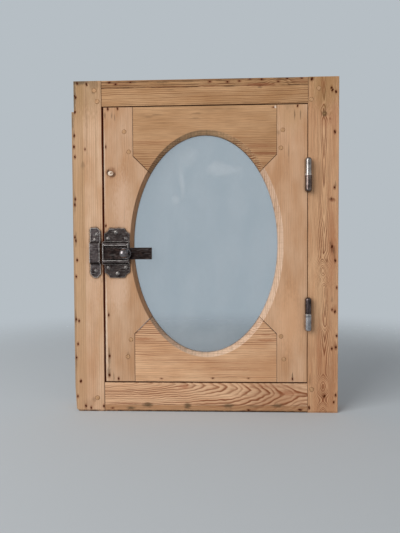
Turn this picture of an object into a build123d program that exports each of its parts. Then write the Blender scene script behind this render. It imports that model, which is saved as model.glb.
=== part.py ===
from build123d import *
import os

os.makedirs("parts", exist_ok=True)

# Small pine casement window with an oval light, in its frame. Millimetres.
# X runs to the right, Y away from the viewer and Z up.
# The origin is the middle of the frame's bottom face.

# Outer frame: two full-height stiles with the rails tenoned between them
window_width = 480
window_height = 602
frame_depth = 45
left_stile_face = 55
right_stile_face = 54.5
head_rail_face = 46.3
bottom_rail_face = 53.7
stop_overlap = 10
stop_clearance = 0.6
arris_radius = 1.0

# The upper left corner is cut back, and the lower left one is worn away
corner_cutback_depth = 4.4
corner_cutback_height = 55
worn_corner_depth = 2.6
worn_corner_height = 48
worn_corner_radius = 5

# Frame joints
frame_tenon_thickness = 14
frame_tenon_length = 38
frame_tenon_shoulder = 2
frame_haunch = 10
tenon_end_gap = 1.0
frame_peg_radius = 3.75
frame_peg_reach = 3.4
peg_proud = 0.3
peg_fit = 0.05

# Sash, hand planed to its opening, so the gaps round it differ
sash_thickness = 32
sash_stile_face = 53.8
hinge_gap = 1.2
head_gap = 1.5
sill_gap = 2.0
closing_gap_top = 3.4
closing_gap_bottom = 2.4
sash_arris = 0.5

# Sash joints: the shoulder runs straight, then turns at the kink and meets the oval at 45 degrees
rail_shoulder_height = 88.25
kink_run = 60
shoulder_gap = 0.3
sash_tenon_thickness = 10
sash_tenon_inset = 11
sash_tenon_haunch = 14
tenon_setback = 0.8
sash_peg_radius = 3.5
sash_peg_reach = 7

# Oval light: a splay at the front, a straight land, then the glazing rebate at the back
stile_waist = 44.2
rail_waist = 43.95
splay_side_width = 6.7
splay_end_width = 5.7
splay_skew = 2.0
splay_depth = 9
oval_shift = 0.4
oval_rise = 1.35
glass_inset = 18
glazing_rebate_width = 8
glass_clearance = 1.0
glass_thickness = 3
putty_sight_cover = 1.5
putty_feather = 0.5

# Oval plug in the closing stile
plug_half_width = 5.0
plug_half_height = 4.1
plug_depth = 12
plug_proud = 0.4
plug_bore_radius = 0.9
plug_bore_depth = 3
plug_from_opening = 15.2
plug_drop = 118.3

# Lift-off hinges, with the barrels in front of the hinge-side gap
upper_hinge_drop = 127.3
lower_hinge_rise = 126.3
hinge_half_length = 29.7
sash_knuckle_radius = 5.6
frame_knuckle_radius = 6.2
knuckle_dome = 4.4
barrel_clearance = 0.3
pin_radius = 3.0
pin_fit = 0.05
pin_reach = 20
washer_radius = 5.3
washer_thickness = 1.4
leaf_thickness = 2.0
leaf_width = 22
leaf_length = 23
leaf_gap = 0.4
leaf_fit = 0.1
leaf_screw_depth = 14
leaf_screw_spacing = 13
leaf_screw_radius = 1.75
leaf_screw_length = 16
leaf_screw_head_radius = 3.2

# Keeper strap on the frame stile
keeper_width = 18.2
keeper_height = 89.6
keeper_rise = 1.8
keeper_setback = 4.9
keeper_thickness = 2.0
bridge_height = 42
bridge_rise = 1.3
bridge_proud = 8.8
bridge_slope = 3.8
bend_radius = 1.2
keeper_far_corner = 2.0
keeper_near_corner = 5.4
keeper_foot_corner = 6.0
keeper_screw_rise = 33.4
keeper_screw_edge = 5.8
keeper_foot_screw_drop = 33.3
keeper_foot_screw_edge = 8.6
keeper_nail_rise = 24.0
keeper_nail_edge = 9.8
keeper_nail_radius = 1.3
keeper_nail_head_radius = 2.4
keeper_nail_head_height = 1.1
keeper_nail_head_round = 0.9
keeper_nail_length = 18

# Slide bolt: back plate, raised case with its window, bar and knob
latch_drop = 14.45
plate_width = 45.3
plate_height = 89.0
plate_rise = 1.1
plate_thickness = 1.6
plate_setback = 0.3
plate_corner = 9.0
plate_scoop_radius = 13.0
case_overhang = 3.2
case_rim = 1.8
case_height = 41.4
case_proud = 8.6
case_slope = 3.6
case_sheet = 1.8
case_window_height = 26.9
case_edge_radius = 0.9
mitre_gap_width = 2.6
mitre_gap_height = 2.9
case_lug_width = 5
case_lug_spacing = 26
bolt_length = 87.8
bolt_height = 21.4
bolt_thickness = 4.5
bolt_float = 0.2
bolt_side_play = 0.4
bolt_past_keeper = 11.9
bolt_release_clearance = 7.0
bolt_nose_radius = 4.0
bolt_edge = 0.5
stud_radius = 3.4
stud_tail_radius = 2.8
stud_fit = 0.05
stud_play = 0.5
collar_radius = 10.4
collar_thickness = 2.0
collar_clearance = 0.9
collar_edge = 0.8
neck_radius = 4.2
neck_length = 4.0
ball_radius = 8.6
ball_sink = 1.2

# Round-headed screws of the latch and the keeper
screw_head_radius = 3.4
screw_head_height = 1.7
screw_shank_radius = 1.6
screw_length = 16
screw_fit = 0.1
screw_slot_width = 0.9
screw_slot_depth = 0.8
screw_slot_turn = 40
latch_screw_column = 16.2
latch_screw_margin = 5.4
top_screw_inset = 6.8
top_screw_shift = -2.0
foot_screw_inset = 7.3
foot_screw_shift = 0.6

# Faces and edges that follow from the sizes above
front = -frame_depth / 2
back = frame_depth / 2
rebate_floor = front + sash_thickness + stop_clearance
opening_left = left_stile_face - window_width / 2
opening_right = window_width / 2 - right_stile_face
opening_bottom = bottom_rail_face
opening_top = window_height - head_rail_face
sash_right = opening_right - hinge_gap
sash_bottom = opening_bottom + sill_gap
sash_top = opening_top - head_gap
sash_left_top = opening_left + closing_gap_top
sash_left_bottom = opening_left + closing_gap_bottom
sash_left = (sash_left_top + sash_left_bottom) / 2
sash_middle = (sash_top + sash_bottom) / 2
sash_half_height = (sash_top - sash_bottom) / 2
kink_rise = sash_half_height - rail_shoulder_height
shoulder_left = sash_left_bottom + sash_stile_face
shoulder_right = sash_right - sash_stile_face
frame_peg_length = sash_thickness + stop_clearance + frame_peg_reach
sash_peg_length = sash_tenon_inset + sash_tenon_thickness + sash_peg_reach
hinge_axis_x = (sash_right + opening_right) / 2
hinge_axis_y = front - frame_knuckle_radius - barrel_clearance
upper_hinge_height = opening_top - upper_hinge_drop
lower_hinge_height = opening_bottom + lower_hinge_rise
hinge_heights = (upper_hinge_height, lower_hinge_height)

# The oval keeps a set width of wood to the sash's edges at its four extremes
oval_centre_x = (sash_left + sash_right) / 2 + oval_shift
oval_centre_height = sash_middle + oval_rise
front_oval_half_width = (sash_right - sash_left) / 2 - stile_waist
front_oval_half_height = sash_half_height - rail_waist
sight_half_width = front_oval_half_width - splay_side_width
sight_half_height = front_oval_half_height - splay_end_width

# Pegs of the frame joints: side, top or bottom, distances outwards from the opening's corner
frame_peg_spots = (
    (-1, 1, 7.8, 9.5),
    (-1, 1, 12.9, 29.2),
    (1, 1, 5.3, 6.6),
    (1, 1, 18.4, 26.0),
    (-1, -1, 13.7, 28.8),
    (1, -1, 7.3, 11.0),
)

# Pegs of the sash joints: side, top or bottom, distance from the shoulder, distance from the kink
sash_peg_spots = (
    (-1, 1, 15.4, 44.4),
    (-1, 1, 7.4, 8.3),
    (1, 1, 10.3, 43.5),
    (1, 1, 6.8, 11.7),
    (-1, -1, 6.8, 11.1),
    (-1, -1, 12.7, 42.5),
    (1, -1, 7.1, 4.6),
    (1, -1, 12.2, 46.3),
)


# Plane that faces the viewer, the given depth behind the wood's front face
def face_plane(depth):
    return Plane.XZ.offset(-(front + depth))


# Box between two corners, joined to the part or cut from it
def block(low, high, mode=Mode.ADD):
    centre = tuple((a + b) / 2 for a, b in zip(low, high))
    size = [abs(b - a) for a, b in zip(low, high)]
    with Locations(centre):
        Box(*size, mode=mode)


# Round bores that run straight back from the front
def bores(spots, radius, start, length):
    with Locations(*[(x, start + length / 2, z) for x, z in spots]):
        Cylinder(radius, length, rotation=(90, 0, 0), mode=Mode.SUBTRACT)


# Corners of a raised part's section: foot, sloping shoulder, face, shoulder, foot
def raised_section(foot, face, start, end, slope):
    return [(foot, start), (face, start + slope), (face, end - slope), (foot, end)]


# Middles of the frame's pegs
def frame_peg_points():
    points = []
    for side, end, setback, rise in frame_peg_spots:
        shoulder = opening_left if side < 0 else opening_right
        edge = opening_top if end > 0 else opening_bottom
        points.append((shoulder + side * setback, edge + end * rise))
    return points


# Middles of the sash's pegs
def sash_peg_points():
    points = []
    for side, end, setback, rise in sash_peg_spots:
        shoulder = shoulder_left if side < 0 else shoulder_right
        points.append((shoulder + side * setback, sash_middle + end * (kink_rise + rise)))
    return points


# The bolt's level sets the heights of the plate with its case, the keeper and their screws
bolt_level = sash_middle - latch_drop
plate_centre_height = bolt_level + plate_rise
keeper_centre_height = bolt_level + keeper_rise
bridge_centre_height = bolt_level + bridge_rise
plate_bottom = plate_centre_height - plate_height / 2
plate_top = plate_centre_height + plate_height / 2
case_bottom = plate_centre_height - case_height / 2
case_top = plate_centre_height + case_height / 2
bolt_bottom = bolt_level - bolt_height / 2
bolt_top = bolt_level + bolt_height / 2

keeper_right = opening_left - keeper_setback
keeper_left = keeper_right - keeper_width
keeper_screw_points = [
    (keeper_right - keeper_screw_edge, keeper_centre_height + keeper_screw_rise),
    (keeper_right - keeper_foot_screw_edge, keeper_centre_height - keeper_foot_screw_drop),
]
keeper_nail_point = (keeper_right - keeper_nail_edge, keeper_centre_height + keeper_nail_rise)

plate_left = sash_left + plate_setback
plate_right = plate_left + plate_width
plate_centre_x = (plate_left + plate_right) / 2
plate_front = front - plate_thickness
latch_screw_points = [
    (plate_centre_x + side * latch_screw_column, height)
    for height in (case_top + latch_screw_margin, case_bottom - latch_screw_margin)
    for side in (-1, 1)
] + [
    (plate_centre_x + top_screw_shift, plate_top - top_screw_inset),
    (plate_centre_x + foot_screw_shift, plate_bottom + foot_screw_inset),
]

# The bolt is modelled drawn, just clear of the keeper, and is thrown to the left
bolt_throw = keeper_width + bolt_past_keeper + bolt_release_clearance
bolt_tip = keeper_left - bolt_past_keeper + bolt_throw
bolt_back = plate_front - bolt_float
bolt_front = bolt_back - bolt_thickness
case_left = plate_left - case_overhang
case_front = front - case_proud
case_window_length = bolt_throw + 2 * stud_radius + 2 * stud_play
case_right = case_left + case_window_length + 2 * case_rim
stud_x = case_right - case_rim - stud_play - stud_radius


def frame_tenon_range(end):
    if end > 0:
        return opening_top + frame_tenon_shoulder, window_height - frame_haunch
    return frame_haunch, opening_bottom - frame_tenon_shoulder


# Full-height frame stile, rebated along its inner edge for the sash
def frame_stile(side, face):
    outer = side * window_width / 2
    inner = outer - side * face
    lip = inner - side * stop_overlap
    with BuildPart() as stile:
        with BuildSketch():
            with BuildLine():
                Polyline(
                    (outer, front),
                    (inner, front),
                    (inner, rebate_floor),
                    (lip, rebate_floor),
                    (lip, back),
                    (outer, back),
                    close=True,
                )
            make_face()
        extrude(amount=window_height)
        front_edges = stile.edges().filter_by(Axis.Z).group_by(Axis.Y)[0]
        fillet(front_edges, arris_radius)
        for end in (-1, 1):
            low, high = frame_tenon_range(end)
            block(
                (inner, rebate_floor - frame_tenon_thickness, low),
                (inner + side * (frame_tenon_length + tenon_end_gap), rebate_floor, high),
                mode=Mode.SUBTRACT,
            )
        bores(frame_peg_points(), frame_peg_radius, front, frame_peg_length)
    return stile


# Rail of the frame, with a long shoulder in front and a short one behind the stop
def frame_rail(end):
    outer = window_height if end > 0 else 0
    inner = opening_top if end > 0 else opening_bottom
    lip = inner - end * stop_overlap
    low, high = frame_tenon_range(end)
    with BuildPart() as rail:
        block((opening_left, front, inner), (opening_right, rebate_floor, outer))
        front_edges = rail.edges().filter_by(Axis.X).group_by(Axis.Y)[0]
        fillet(front_edges, arris_radius)
        block(
            (opening_left + stop_overlap, rebate_floor, lip),
            (opening_right - stop_overlap, back, outer),
        )
        block(
            (opening_left - frame_tenon_length, rebate_floor - frame_tenon_thickness, low),
            (opening_right + frame_tenon_length, rebate_floor, high),
        )
        bores(frame_peg_points(), frame_peg_radius, front, frame_peg_length)
    return rail


# Frame stiles
left = frame_stile(-1, left_stile_face)
with BuildPart() as frame_left_stile:
    add(left.part)
    frame_left = -window_width / 2
    block(
        (frame_left, front, window_height - corner_cutback_height),
        (frame_left + corner_cutback_depth, back, window_height),
        mode=Mode.SUBTRACT,
    )
    with BuildSketch(Plane.XZ.offset(-front)):
        with BuildLine():
            Polyline(
                (frame_left, worn_corner_height),
                (frame_left + worn_corner_depth, worn_corner_radius),
                (frame_left + worn_corner_depth + worn_corner_radius, 0),
                (frame_left, 0),
                close=True,
            )
        make_face()
    extrude(amount=-frame_depth, mode=Mode.SUBTRACT)
    bores(keeper_screw_points, screw_shank_radius + screw_fit, front, screw_length)
    bores([keeper_nail_point], keeper_nail_radius + screw_fit, front, keeper_nail_length)

right = frame_stile(1, right_stile_face)
with BuildPart() as frame_right_stile:
    add(right.part)
    for height in hinge_heights:
        leaf_top = height - washer_thickness / 2
        block(
            (opening_right, front, leaf_top - leaf_length - leaf_fit),
            (
                opening_right + leaf_thickness - (hinge_gap - leaf_gap) / 2,
                front + leaf_width + leaf_fit,
                leaf_top + leaf_fit,
            ),
            mode=Mode.SUBTRACT,
        )
        for offset in (-leaf_screw_spacing / 2, leaf_screw_spacing / 2):
            with Locations((opening_right, front + leaf_screw_depth, leaf_top - leaf_length / 2 + offset)):
                Cylinder(
                    leaf_screw_radius + screw_fit,
                    2 * leaf_screw_length,
                    rotation=(0, 90, 0),
                    mode=Mode.SUBTRACT,
                )

# Frame rails
frame_head_rail = frame_rail(1)
frame_bottom_rail = frame_rail(-1)

# Frame pegs
with BuildPart() as frame_pegs:
    with Locations(*[(x, front - peg_proud + frame_peg_length / 2, z) for x, z in frame_peg_points()]):
        Cylinder(frame_peg_radius - peg_fit, frame_peg_length, rotation=(90, 0, 0))
    chamfer(frame_pegs.edges().group_by(Axis.Y)[0], peg_proud)

# Oval light as one cutter for the four sash members
with BuildPart() as oval_light:
    with BuildSketch(face_plane(0)):
        with Locations((oval_centre_x + splay_skew, oval_centre_height)):
            Ellipse(front_oval_half_width, front_oval_half_height)
    with BuildSketch(face_plane(splay_depth)):
        with Locations((oval_centre_x, oval_centre_height)):
            Ellipse(sight_half_width, sight_half_height)
    loft(ruled=True)
    with BuildSketch(face_plane(splay_depth)):
        with Locations((oval_centre_x, oval_centre_height)):
            Ellipse(sight_half_width, sight_half_height)
    extrude(amount=splay_depth - glass_inset)
    with BuildSketch(face_plane(glass_inset)):
        with Locations((oval_centre_x, oval_centre_height)):
            Ellipse(
                sight_half_width + glazing_rebate_width,
                sight_half_height + glazing_rebate_width,
            )
    extrude(amount=glass_inset - sash_thickness)


def sash_tenon_range(end):
    kink = sash_middle + end * kink_rise
    haunch = (sash_top if end > 0 else sash_bottom) - end * sash_tenon_haunch
    return min(kink, haunch), max(kink, haunch)


# Sash stile: full width beside the oval, cut to a shoulder and a diagonal at each rail
def sash_stile(side):
    shoulder = shoulder_left if side < 0 else shoulder_right
    edge_top = sash_left_top if side < 0 else sash_right
    edge_bottom = sash_left_bottom if side < 0 else sash_right
    tip = shoulder - side * kink_run
    with BuildPart() as stile:
        with BuildSketch(face_plane(0)):
            with BuildLine():
                Polyline(
                    (edge_bottom, sash_bottom),
                    (edge_top, sash_top),
                    (shoulder, sash_top),
                    (shoulder, sash_middle + kink_rise),
                    (tip, sash_middle + kink_rise - kink_run),
                    (tip, sash_middle - kink_rise + kink_run),
                    (shoulder, sash_middle - kink_rise),
                    (shoulder, sash_bottom),
                    close=True,
                )
            make_face()
        extrude(amount=-sash_thickness)
        fillet(stile.edges().group_by(Axis.Y)[0], sash_arris)
        add(oval_light.part, mode=Mode.SUBTRACT)
        for end in (-1, 1):
            low, high = sash_tenon_range(end)
            block(
                (shoulder, front + sash_tenon_inset, low),
                (side * window_width / 2, front + sash_tenon_inset + sash_tenon_thickness, high),
                mode=Mode.SUBTRACT,
            )
        bores(sash_peg_points(), sash_peg_radius, front, sash_peg_length)
    return stile


# Sash rail: arched by the oval, pointed where it meets the stiles' diagonals
def sash_rail(end):
    edge = sash_top if end > 0 else sash_bottom
    kink = sash_middle + end * kink_rise
    crown = kink - end * kink_run
    left_end = shoulder_left + shoulder_gap
    right_end = shoulder_right - shoulder_gap
    with BuildPart() as rail:
        with BuildSketch(face_plane(0)):
            with BuildLine():
                Polyline(
                    (left_end, edge),
                    (left_end, kink + end * shoulder_gap),
                    (left_end + kink_run, crown + end * shoulder_gap),
                    (right_end - kink_run, crown + end * shoulder_gap),
                    (right_end, kink + end * shoulder_gap),
                    (right_end, edge),
                    close=True,
                )
            make_face()
        extrude(amount=-sash_thickness)
        fillet(rail.edges().group_by(Axis.Y)[0], sash_arris)
        add(oval_light.part, mode=Mode.SUBTRACT)
        low, high = sash_tenon_range(end)
        tenon_left = max(sash_left_top, sash_left_bottom) + tenon_setback
        tenon_right = sash_right - tenon_setback
        for start, stop in ((tenon_left, left_end), (right_end, tenon_right)):
            block(
                (start, front + sash_tenon_inset, low),
                (stop, front + sash_tenon_inset + sash_tenon_thickness, high),
            )
        bores(sash_peg_points(), sash_peg_radius, front, sash_peg_length)
    return rail


# Closing stile of the sash, bored for the plug and the latch screws
left = sash_stile(-1)
plug_x = opening_left + plug_from_opening
plug_height = sash_top - plug_drop
with BuildPart() as sash_left_stile:
    add(left.part)
    with BuildSketch(face_plane(0)):
        with Locations((plug_x, plug_height)):
            Ellipse(plug_half_width, plug_half_height)
    extrude(amount=-plug_depth, mode=Mode.SUBTRACT)
    bores(latch_screw_points, screw_shank_radius + screw_fit, front, screw_length)

# Hinge stile of the sash, with the leaves let into its edge
right = sash_stile(1)
with BuildPart() as sash_right_stile:
    add(right.part)
    for height in hinge_heights:
        leaf_bottom = height + washer_thickness / 2
        block(
            (
                sash_right - leaf_thickness + (hinge_gap - leaf_gap) / 2,
                front,
                leaf_bottom - leaf_fit,
            ),
            (sash_right, front + leaf_width + leaf_fit, leaf_bottom + leaf_length + leaf_fit),
            mode=Mode.SUBTRACT,
        )
        for offset in (-leaf_screw_spacing / 2, leaf_screw_spacing / 2):
            with Locations((sash_right, front + leaf_screw_depth, leaf_bottom + leaf_length / 2 + offset)):
                Cylinder(
                    leaf_screw_radius + screw_fit,
                    2 * leaf_screw_length,
                    rotation=(0, 90, 0),
                    mode=Mode.SUBTRACT,
                )

sash_top_rail = sash_rail(1)
sash_bottom_rail = sash_rail(-1)

# Sash pegs
with BuildPart() as sash_pegs:
    with Locations(*[(x, front - peg_proud + sash_peg_length / 2, z) for x, z in sash_peg_points()]):
        Cylinder(sash_peg_radius - peg_fit, sash_peg_length, rotation=(90, 0, 0))
    chamfer(sash_pegs.edges().group_by(Axis.Y)[0], peg_proud)

# Whittled plug with its pith hole
with BuildPart() as stile_plug:
    with BuildSketch(face_plane(-plug_proud)):
        with Locations((plug_x, plug_height)):
            Ellipse(plug_half_width - peg_fit, plug_half_height - peg_fit)
    extrude(amount=-(plug_proud + plug_depth))
    fillet(stile_plug.edges().group_by(Axis.Y)[0], plug_proud)
    bores([(plug_x, plug_height)], plug_bore_radius, front - plug_proud, plug_bore_depth)

# Oval pane
with BuildPart() as glass:
    with BuildSketch(face_plane(glass_inset)):
        with Locations((oval_centre_x, oval_centre_height)):
            Ellipse(
                sight_half_width + glazing_rebate_width - glass_clearance,
                sight_half_height + glazing_rebate_width - glass_clearance,
            )
    extrude(amount=-glass_thickness)

# Putty fillet behind the pane, struck off to a slope
putty_start = glass_inset + glass_thickness
with BuildPart() as putty:
    with BuildSketch(face_plane(putty_start)):
        with Locations((oval_centre_x, oval_centre_height)):
            Ellipse(
                sight_half_width + glazing_rebate_width,
                sight_half_height + glazing_rebate_width,
            )
    extrude(amount=putty_start - sash_thickness)
    with BuildSketch(face_plane(putty_start)):
        with Locations((oval_centre_x, oval_centre_height)):
            Ellipse(sight_half_width + putty_sight_cover, sight_half_height + putty_sight_cover)
    with BuildSketch(face_plane(sash_thickness)):
        with Locations((oval_centre_x, oval_centre_height)):
            Ellipse(
                sight_half_width + glazing_rebate_width - putty_feather,
                sight_half_height + glazing_rebate_width - putty_feather,
            )
    loft(ruled=True, mode=Mode.SUBTRACT)


# Half of a lift-off hinge: a domed barrel with its leaf, bored for the pin
def hinge_half(split_height, side, barrel_radius):
    start = split_height + side * washer_thickness / 2
    end = start + side * hinge_half_length
    leaf_end = start + side * leaf_length
    proud = (hinge_gap - leaf_gap) / 2
    if side > 0:
        leaf_near = sash_right + proud
        leaf_far = leaf_near - leaf_thickness
    else:
        leaf_near = opening_right - proud
        leaf_far = leaf_near + leaf_thickness
    with BuildPart() as half:
        with Locations((hinge_axis_x, hinge_axis_y, (start + end) / 2)):
            Cylinder(barrel_radius, hinge_half_length)
        fillet(half.edges().sort_by(Axis.Z)[-1 if side > 0 else 0], knuckle_dome)
        block((leaf_near, hinge_axis_y, start), (leaf_far, front + leaf_width, leaf_end))
        with Locations((hinge_axis_x, hinge_axis_y, start + side * pin_reach / 2)):
            Cylinder(pin_radius + pin_fit, pin_reach, mode=Mode.SUBTRACT)
        for offset in (-leaf_screw_spacing / 2, leaf_screw_spacing / 2):
            screw_height = start + side * leaf_length / 2 + offset
            with Locations((leaf_near, front + leaf_screw_depth, screw_height)):
                Cylinder(
                    leaf_screw_radius + screw_fit,
                    2 * leaf_width,
                    rotation=(0, 90, 0),
                    mode=Mode.SUBTRACT,
                )
            with Locations((leaf_near - side * leaf_thickness / 2, front + leaf_screw_depth, screw_height)):
                Cone(
                    leaf_screw_radius + screw_fit,
                    leaf_screw_head_radius + screw_fit,
                    leaf_thickness,
                    rotation=(0, side * 90, 0),
                    mode=Mode.SUBTRACT,
                )
    return half


# Countersunk screws that hold the leaves of one side
def leaf_screws(side):
    proud = (hinge_gap - leaf_gap) / 2
    face = sash_right + proud if side > 0 else opening_right - proud
    with BuildPart() as screws:
        for height in hinge_heights:
            leaf_start = height + side * washer_thickness / 2
            for offset in (-leaf_screw_spacing / 2, leaf_screw_spacing / 2):
                screw_height = leaf_start + side * leaf_length / 2 + offset
                with Locations((face - side * leaf_thickness / 2, front + leaf_screw_depth, screw_height)):
                    Cone(
                        leaf_screw_radius,
                        leaf_screw_head_radius,
                        leaf_thickness,
                        rotation=(0, side * 90, 0),
                    )
                with Locations((face - side * leaf_screw_length / 2, front + leaf_screw_depth, screw_height)):
                    Cylinder(leaf_screw_radius, leaf_screw_length, rotation=(0, 90, 0))
    return screws


upper_hinge_sash_half = hinge_half(upper_hinge_height, 1, sash_knuckle_radius)
upper_hinge_frame_half = hinge_half(upper_hinge_height, -1, frame_knuckle_radius)
lower_hinge_sash_half = hinge_half(lower_hinge_height, 1, sash_knuckle_radius)
lower_hinge_frame_half = hinge_half(lower_hinge_height, -1, frame_knuckle_radius)
hinge_sash_screws = leaf_screws(1)
hinge_frame_screws = leaf_screws(-1)

hinge_points = [(hinge_axis_x, hinge_axis_y, height) for height in hinge_heights]
with BuildPart() as hinge_pins:
    with Locations(*hinge_points):
        Cylinder(pin_radius, washer_thickness + 2 * pin_reach)

with BuildPart() as hinge_washers:
    with Locations(*hinge_points):
        Cylinder(washer_radius, washer_thickness)
    with Locations(*hinge_points):
        Cylinder(pin_radius + pin_fit, washer_thickness, mode=Mode.SUBTRACT)


# Slotted round-headed screw, its seat at the origin and its point towards +Y
with BuildPart() as round_screw:
    with BuildSketch(Plane.XY):
        with BuildLine():
            Line((0, screw_length), (screw_shank_radius, screw_length))
            Line((screw_shank_radius, screw_length), (screw_shank_radius, 0))
            Line((screw_shank_radius, 0), (screw_head_radius, 0))
            TangentArc((0, -screw_head_height), (screw_head_radius, 0), tangent=(1, 0))
            Line((0, -screw_head_height), (0, screw_length))
        make_face()
    revolve(axis=Axis.Y)
    with Locations((0, -screw_head_height, 0)):
        Box(
            2 * screw_head_radius,
            2 * screw_slot_depth,
            screw_slot_width,
            rotation=(0, screw_slot_turn, 0),
            mode=Mode.SUBTRACT,
        )

# Keeper: one strap bent over the bolt's path
bridge_bottom = bridge_centre_height - bridge_height / 2
bridge_top = bridge_centre_height + bridge_height / 2
keeper_bottom = keeper_centre_height - keeper_height / 2
keeper_top = keeper_centre_height + keeper_height / 2
strap_face = front - keeper_thickness
bridge_face = front - bridge_proud
with BuildPart() as keeper:
    with BuildSketch(Plane.YZ.offset(keeper_left)):
        with BuildLine():
            FilletPolyline(
                (strap_face, keeper_bottom),
                *raised_section(strap_face, bridge_face, bridge_bottom, bridge_top, bridge_slope),
                (strap_face, keeper_top),
                radius=bend_radius,
            )
            Line((strap_face, keeper_top), (front, keeper_top))
            Polyline(
                (front, keeper_top),
                *raised_section(
                    front,
                    bridge_face + keeper_thickness,
                    bridge_top - keeper_thickness,
                    bridge_bottom + keeper_thickness,
                    -bridge_slope,
                ),
                (front, keeper_bottom),
            )
            Line((front, keeper_bottom), (strap_face, keeper_bottom))
        make_face()
    extrude(amount=keeper_width)
    far_corner, near_corner = keeper.edges().filter_by(Axis.Y).group_by(Axis.Z)[-1].sort_by(Axis.X)
    chamfer(far_corner, keeper_far_corner)
    chamfer(near_corner, keeper_near_corner)
    chamfer(keeper.edges().filter_by(Axis.Y).group_by(Axis.Z)[0], keeper_foot_corner)
    bores(
        keeper_screw_points,
        screw_shank_radius + screw_fit,
        strap_face,
        keeper_thickness,
    )
    bores([keeper_nail_point], keeper_nail_radius + screw_fit, strap_face, keeper_thickness)

with BuildPart() as keeper_screws:
    with Locations(*[(x, strap_face, z) for x, z in keeper_screw_points]):
        add(round_screw.part)

with BuildPart() as keeper_nail:
    nail_x, nail_z = keeper_nail_point
    with Locations((nail_x, strap_face + keeper_nail_length / 2, nail_z)):
        Cylinder(keeper_nail_radius, keeper_nail_length, rotation=(90, 0, 0))
    with Locations((nail_x, strap_face - keeper_nail_head_height / 2, nail_z)):
        Cylinder(keeper_nail_head_radius, keeper_nail_head_height, rotation=(90, 0, 0))
    fillet(keeper_nail.edges().group_by(Axis.Y)[0], keeper_nail_head_round)

# Latch plate with scooped corners
lug_points = [
    ((case_left + case_right) / 2 + side * case_lug_spacing / 2, height)
    for side in (-1, 1)
    for height in (case_bottom + case_sheet / 2, case_top - case_sheet / 2)
]
with BuildPart() as latch_plate:
    with BuildSketch(Plane.XZ.offset(-front)):
        with BuildLine():
            outline = [
                (plate_left + plate_corner, plate_bottom),
                (plate_right - plate_corner, plate_bottom),
                (plate_right, plate_bottom + plate_corner),
                (plate_right, plate_top - plate_corner),
                (plate_right - plate_corner, plate_top),
                (plate_left + plate_corner, plate_top),
                (plate_left, plate_top - plate_corner),
                (plate_left, plate_bottom + plate_corner),
            ]
            for i in range(0, len(outline), 2):
                Line(outline[i], outline[i + 1])
                RadiusArc(outline[i + 1], outline[(i + 2) % len(outline)], plate_scoop_radius)
        make_face()
    extrude(amount=plate_thickness)
    bores(latch_screw_points, screw_shank_radius + screw_fit, plate_front, plate_thickness)
    with Locations(*[(x, (front + plate_front) / 2, z) for x, z in lug_points]):
        Box(case_lug_width, plate_thickness, case_sheet, mode=Mode.SUBTRACT)

with BuildPart() as latch_screws:
    with Locations(*[(x, plate_front, z) for x, z in latch_screw_points]):
        add(round_screw.part)

# Raised case with sloping sides, a window for the knob's stud and a slot at each end for the bar
window_left = case_left + case_rim
window_right = case_right - case_rim
window_bottom = plate_centre_height - case_window_height / 2
window_top = plate_centre_height + case_window_height / 2
case_inside = case_front + case_sheet
with BuildPart() as latch_case:
    with BuildSketch(Plane.YZ.offset(case_left)):
        Polygon(*raised_section(plate_front, case_front, case_bottom, case_top, case_slope), align=None)
    extrude(amount=case_right - case_left)
    fillet(latch_case.edges().group_by(Axis.Y)[0], case_edge_radius)
    with BuildSketch(Plane.YZ.offset(window_left)):
        hollow_ends = (case_bottom + case_sheet, case_top - case_sheet)
        Polygon(*raised_section(plate_front, case_inside, *hollow_ends, case_slope), align=None)
    extrude(amount=window_right - window_left, mode=Mode.SUBTRACT)
    block(
        (window_left, case_front, window_bottom),
        (window_right, case_inside, window_top),
        mode=Mode.SUBTRACT,
    )
    with BuildSketch(Plane.XZ.offset(-case_front)):
        for corner, inwards in ((window_left, 1), (window_right, -1)):
            mitre_gap = [
                (corner, window_top),
                (corner + inwards * mitre_gap_width, window_top),
                (corner, window_top + mitre_gap_height),
            ]
            Polygon(*mitre_gap, align=None)
    extrude(amount=-case_sheet, mode=Mode.SUBTRACT)
    block(
        (case_left, case_inside, bolt_bottom - bolt_side_play),
        (case_right, plate_front, bolt_top + bolt_side_play),
        mode=Mode.SUBTRACT,
    )
    with Locations(*[(x, (front + plate_front) / 2, z) for x, z in lug_points]):
        Box(case_lug_width, plate_thickness, case_sheet)

# Bar of the bolt, with the stud hole
with BuildPart() as bolt_bar:
    block((bolt_tip, bolt_front, bolt_bottom), (bolt_tip + bolt_length, bolt_back, bolt_top))
    nose = bolt_bar.edges().filter_by(Axis.Y).group_by(Axis.X)[0].sort_by(Axis.Z)[0]
    fillet(nose, bolt_nose_radius)
    chamfer(bolt_bar.edges().group_by(Axis.Y)[0], bolt_edge)
    bores([(stud_x, bolt_level)], stud_tail_radius + stud_fit, bolt_front, bolt_thickness)

# Turned knob: riveted tail, stud, collar, neck and ball
collar_back = case_front - collar_clearance
collar_front = collar_back - collar_thickness
ball_centre = collar_front - neck_length - ball_radius + ball_sink
with BuildPart() as bolt_knob:
    with Locations((stud_x, (bolt_back + bolt_front) / 2, bolt_level)):
        Cylinder(stud_tail_radius, bolt_thickness, rotation=(90, 0, 0))
    with Locations((stud_x, (bolt_front + collar_back) / 2, bolt_level)):
        Cylinder(stud_radius, bolt_front - collar_back, rotation=(90, 0, 0))
    with Locations((stud_x, (collar_back + collar_front) / 2, bolt_level)):
        Cylinder(collar_radius, collar_thickness, rotation=(90, 0, 0))
    fillet(bolt_knob.edges().group_by(Axis.Y)[0], collar_edge)
    with Locations((stud_x, (collar_front + ball_centre) / 2, bolt_level)):
        Cylinder(neck_radius, collar_front - ball_centre, rotation=(90, 0, 0))
    with Locations((stud_x, ball_centre, bolt_level)):
        Sphere(ball_radius)

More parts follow.
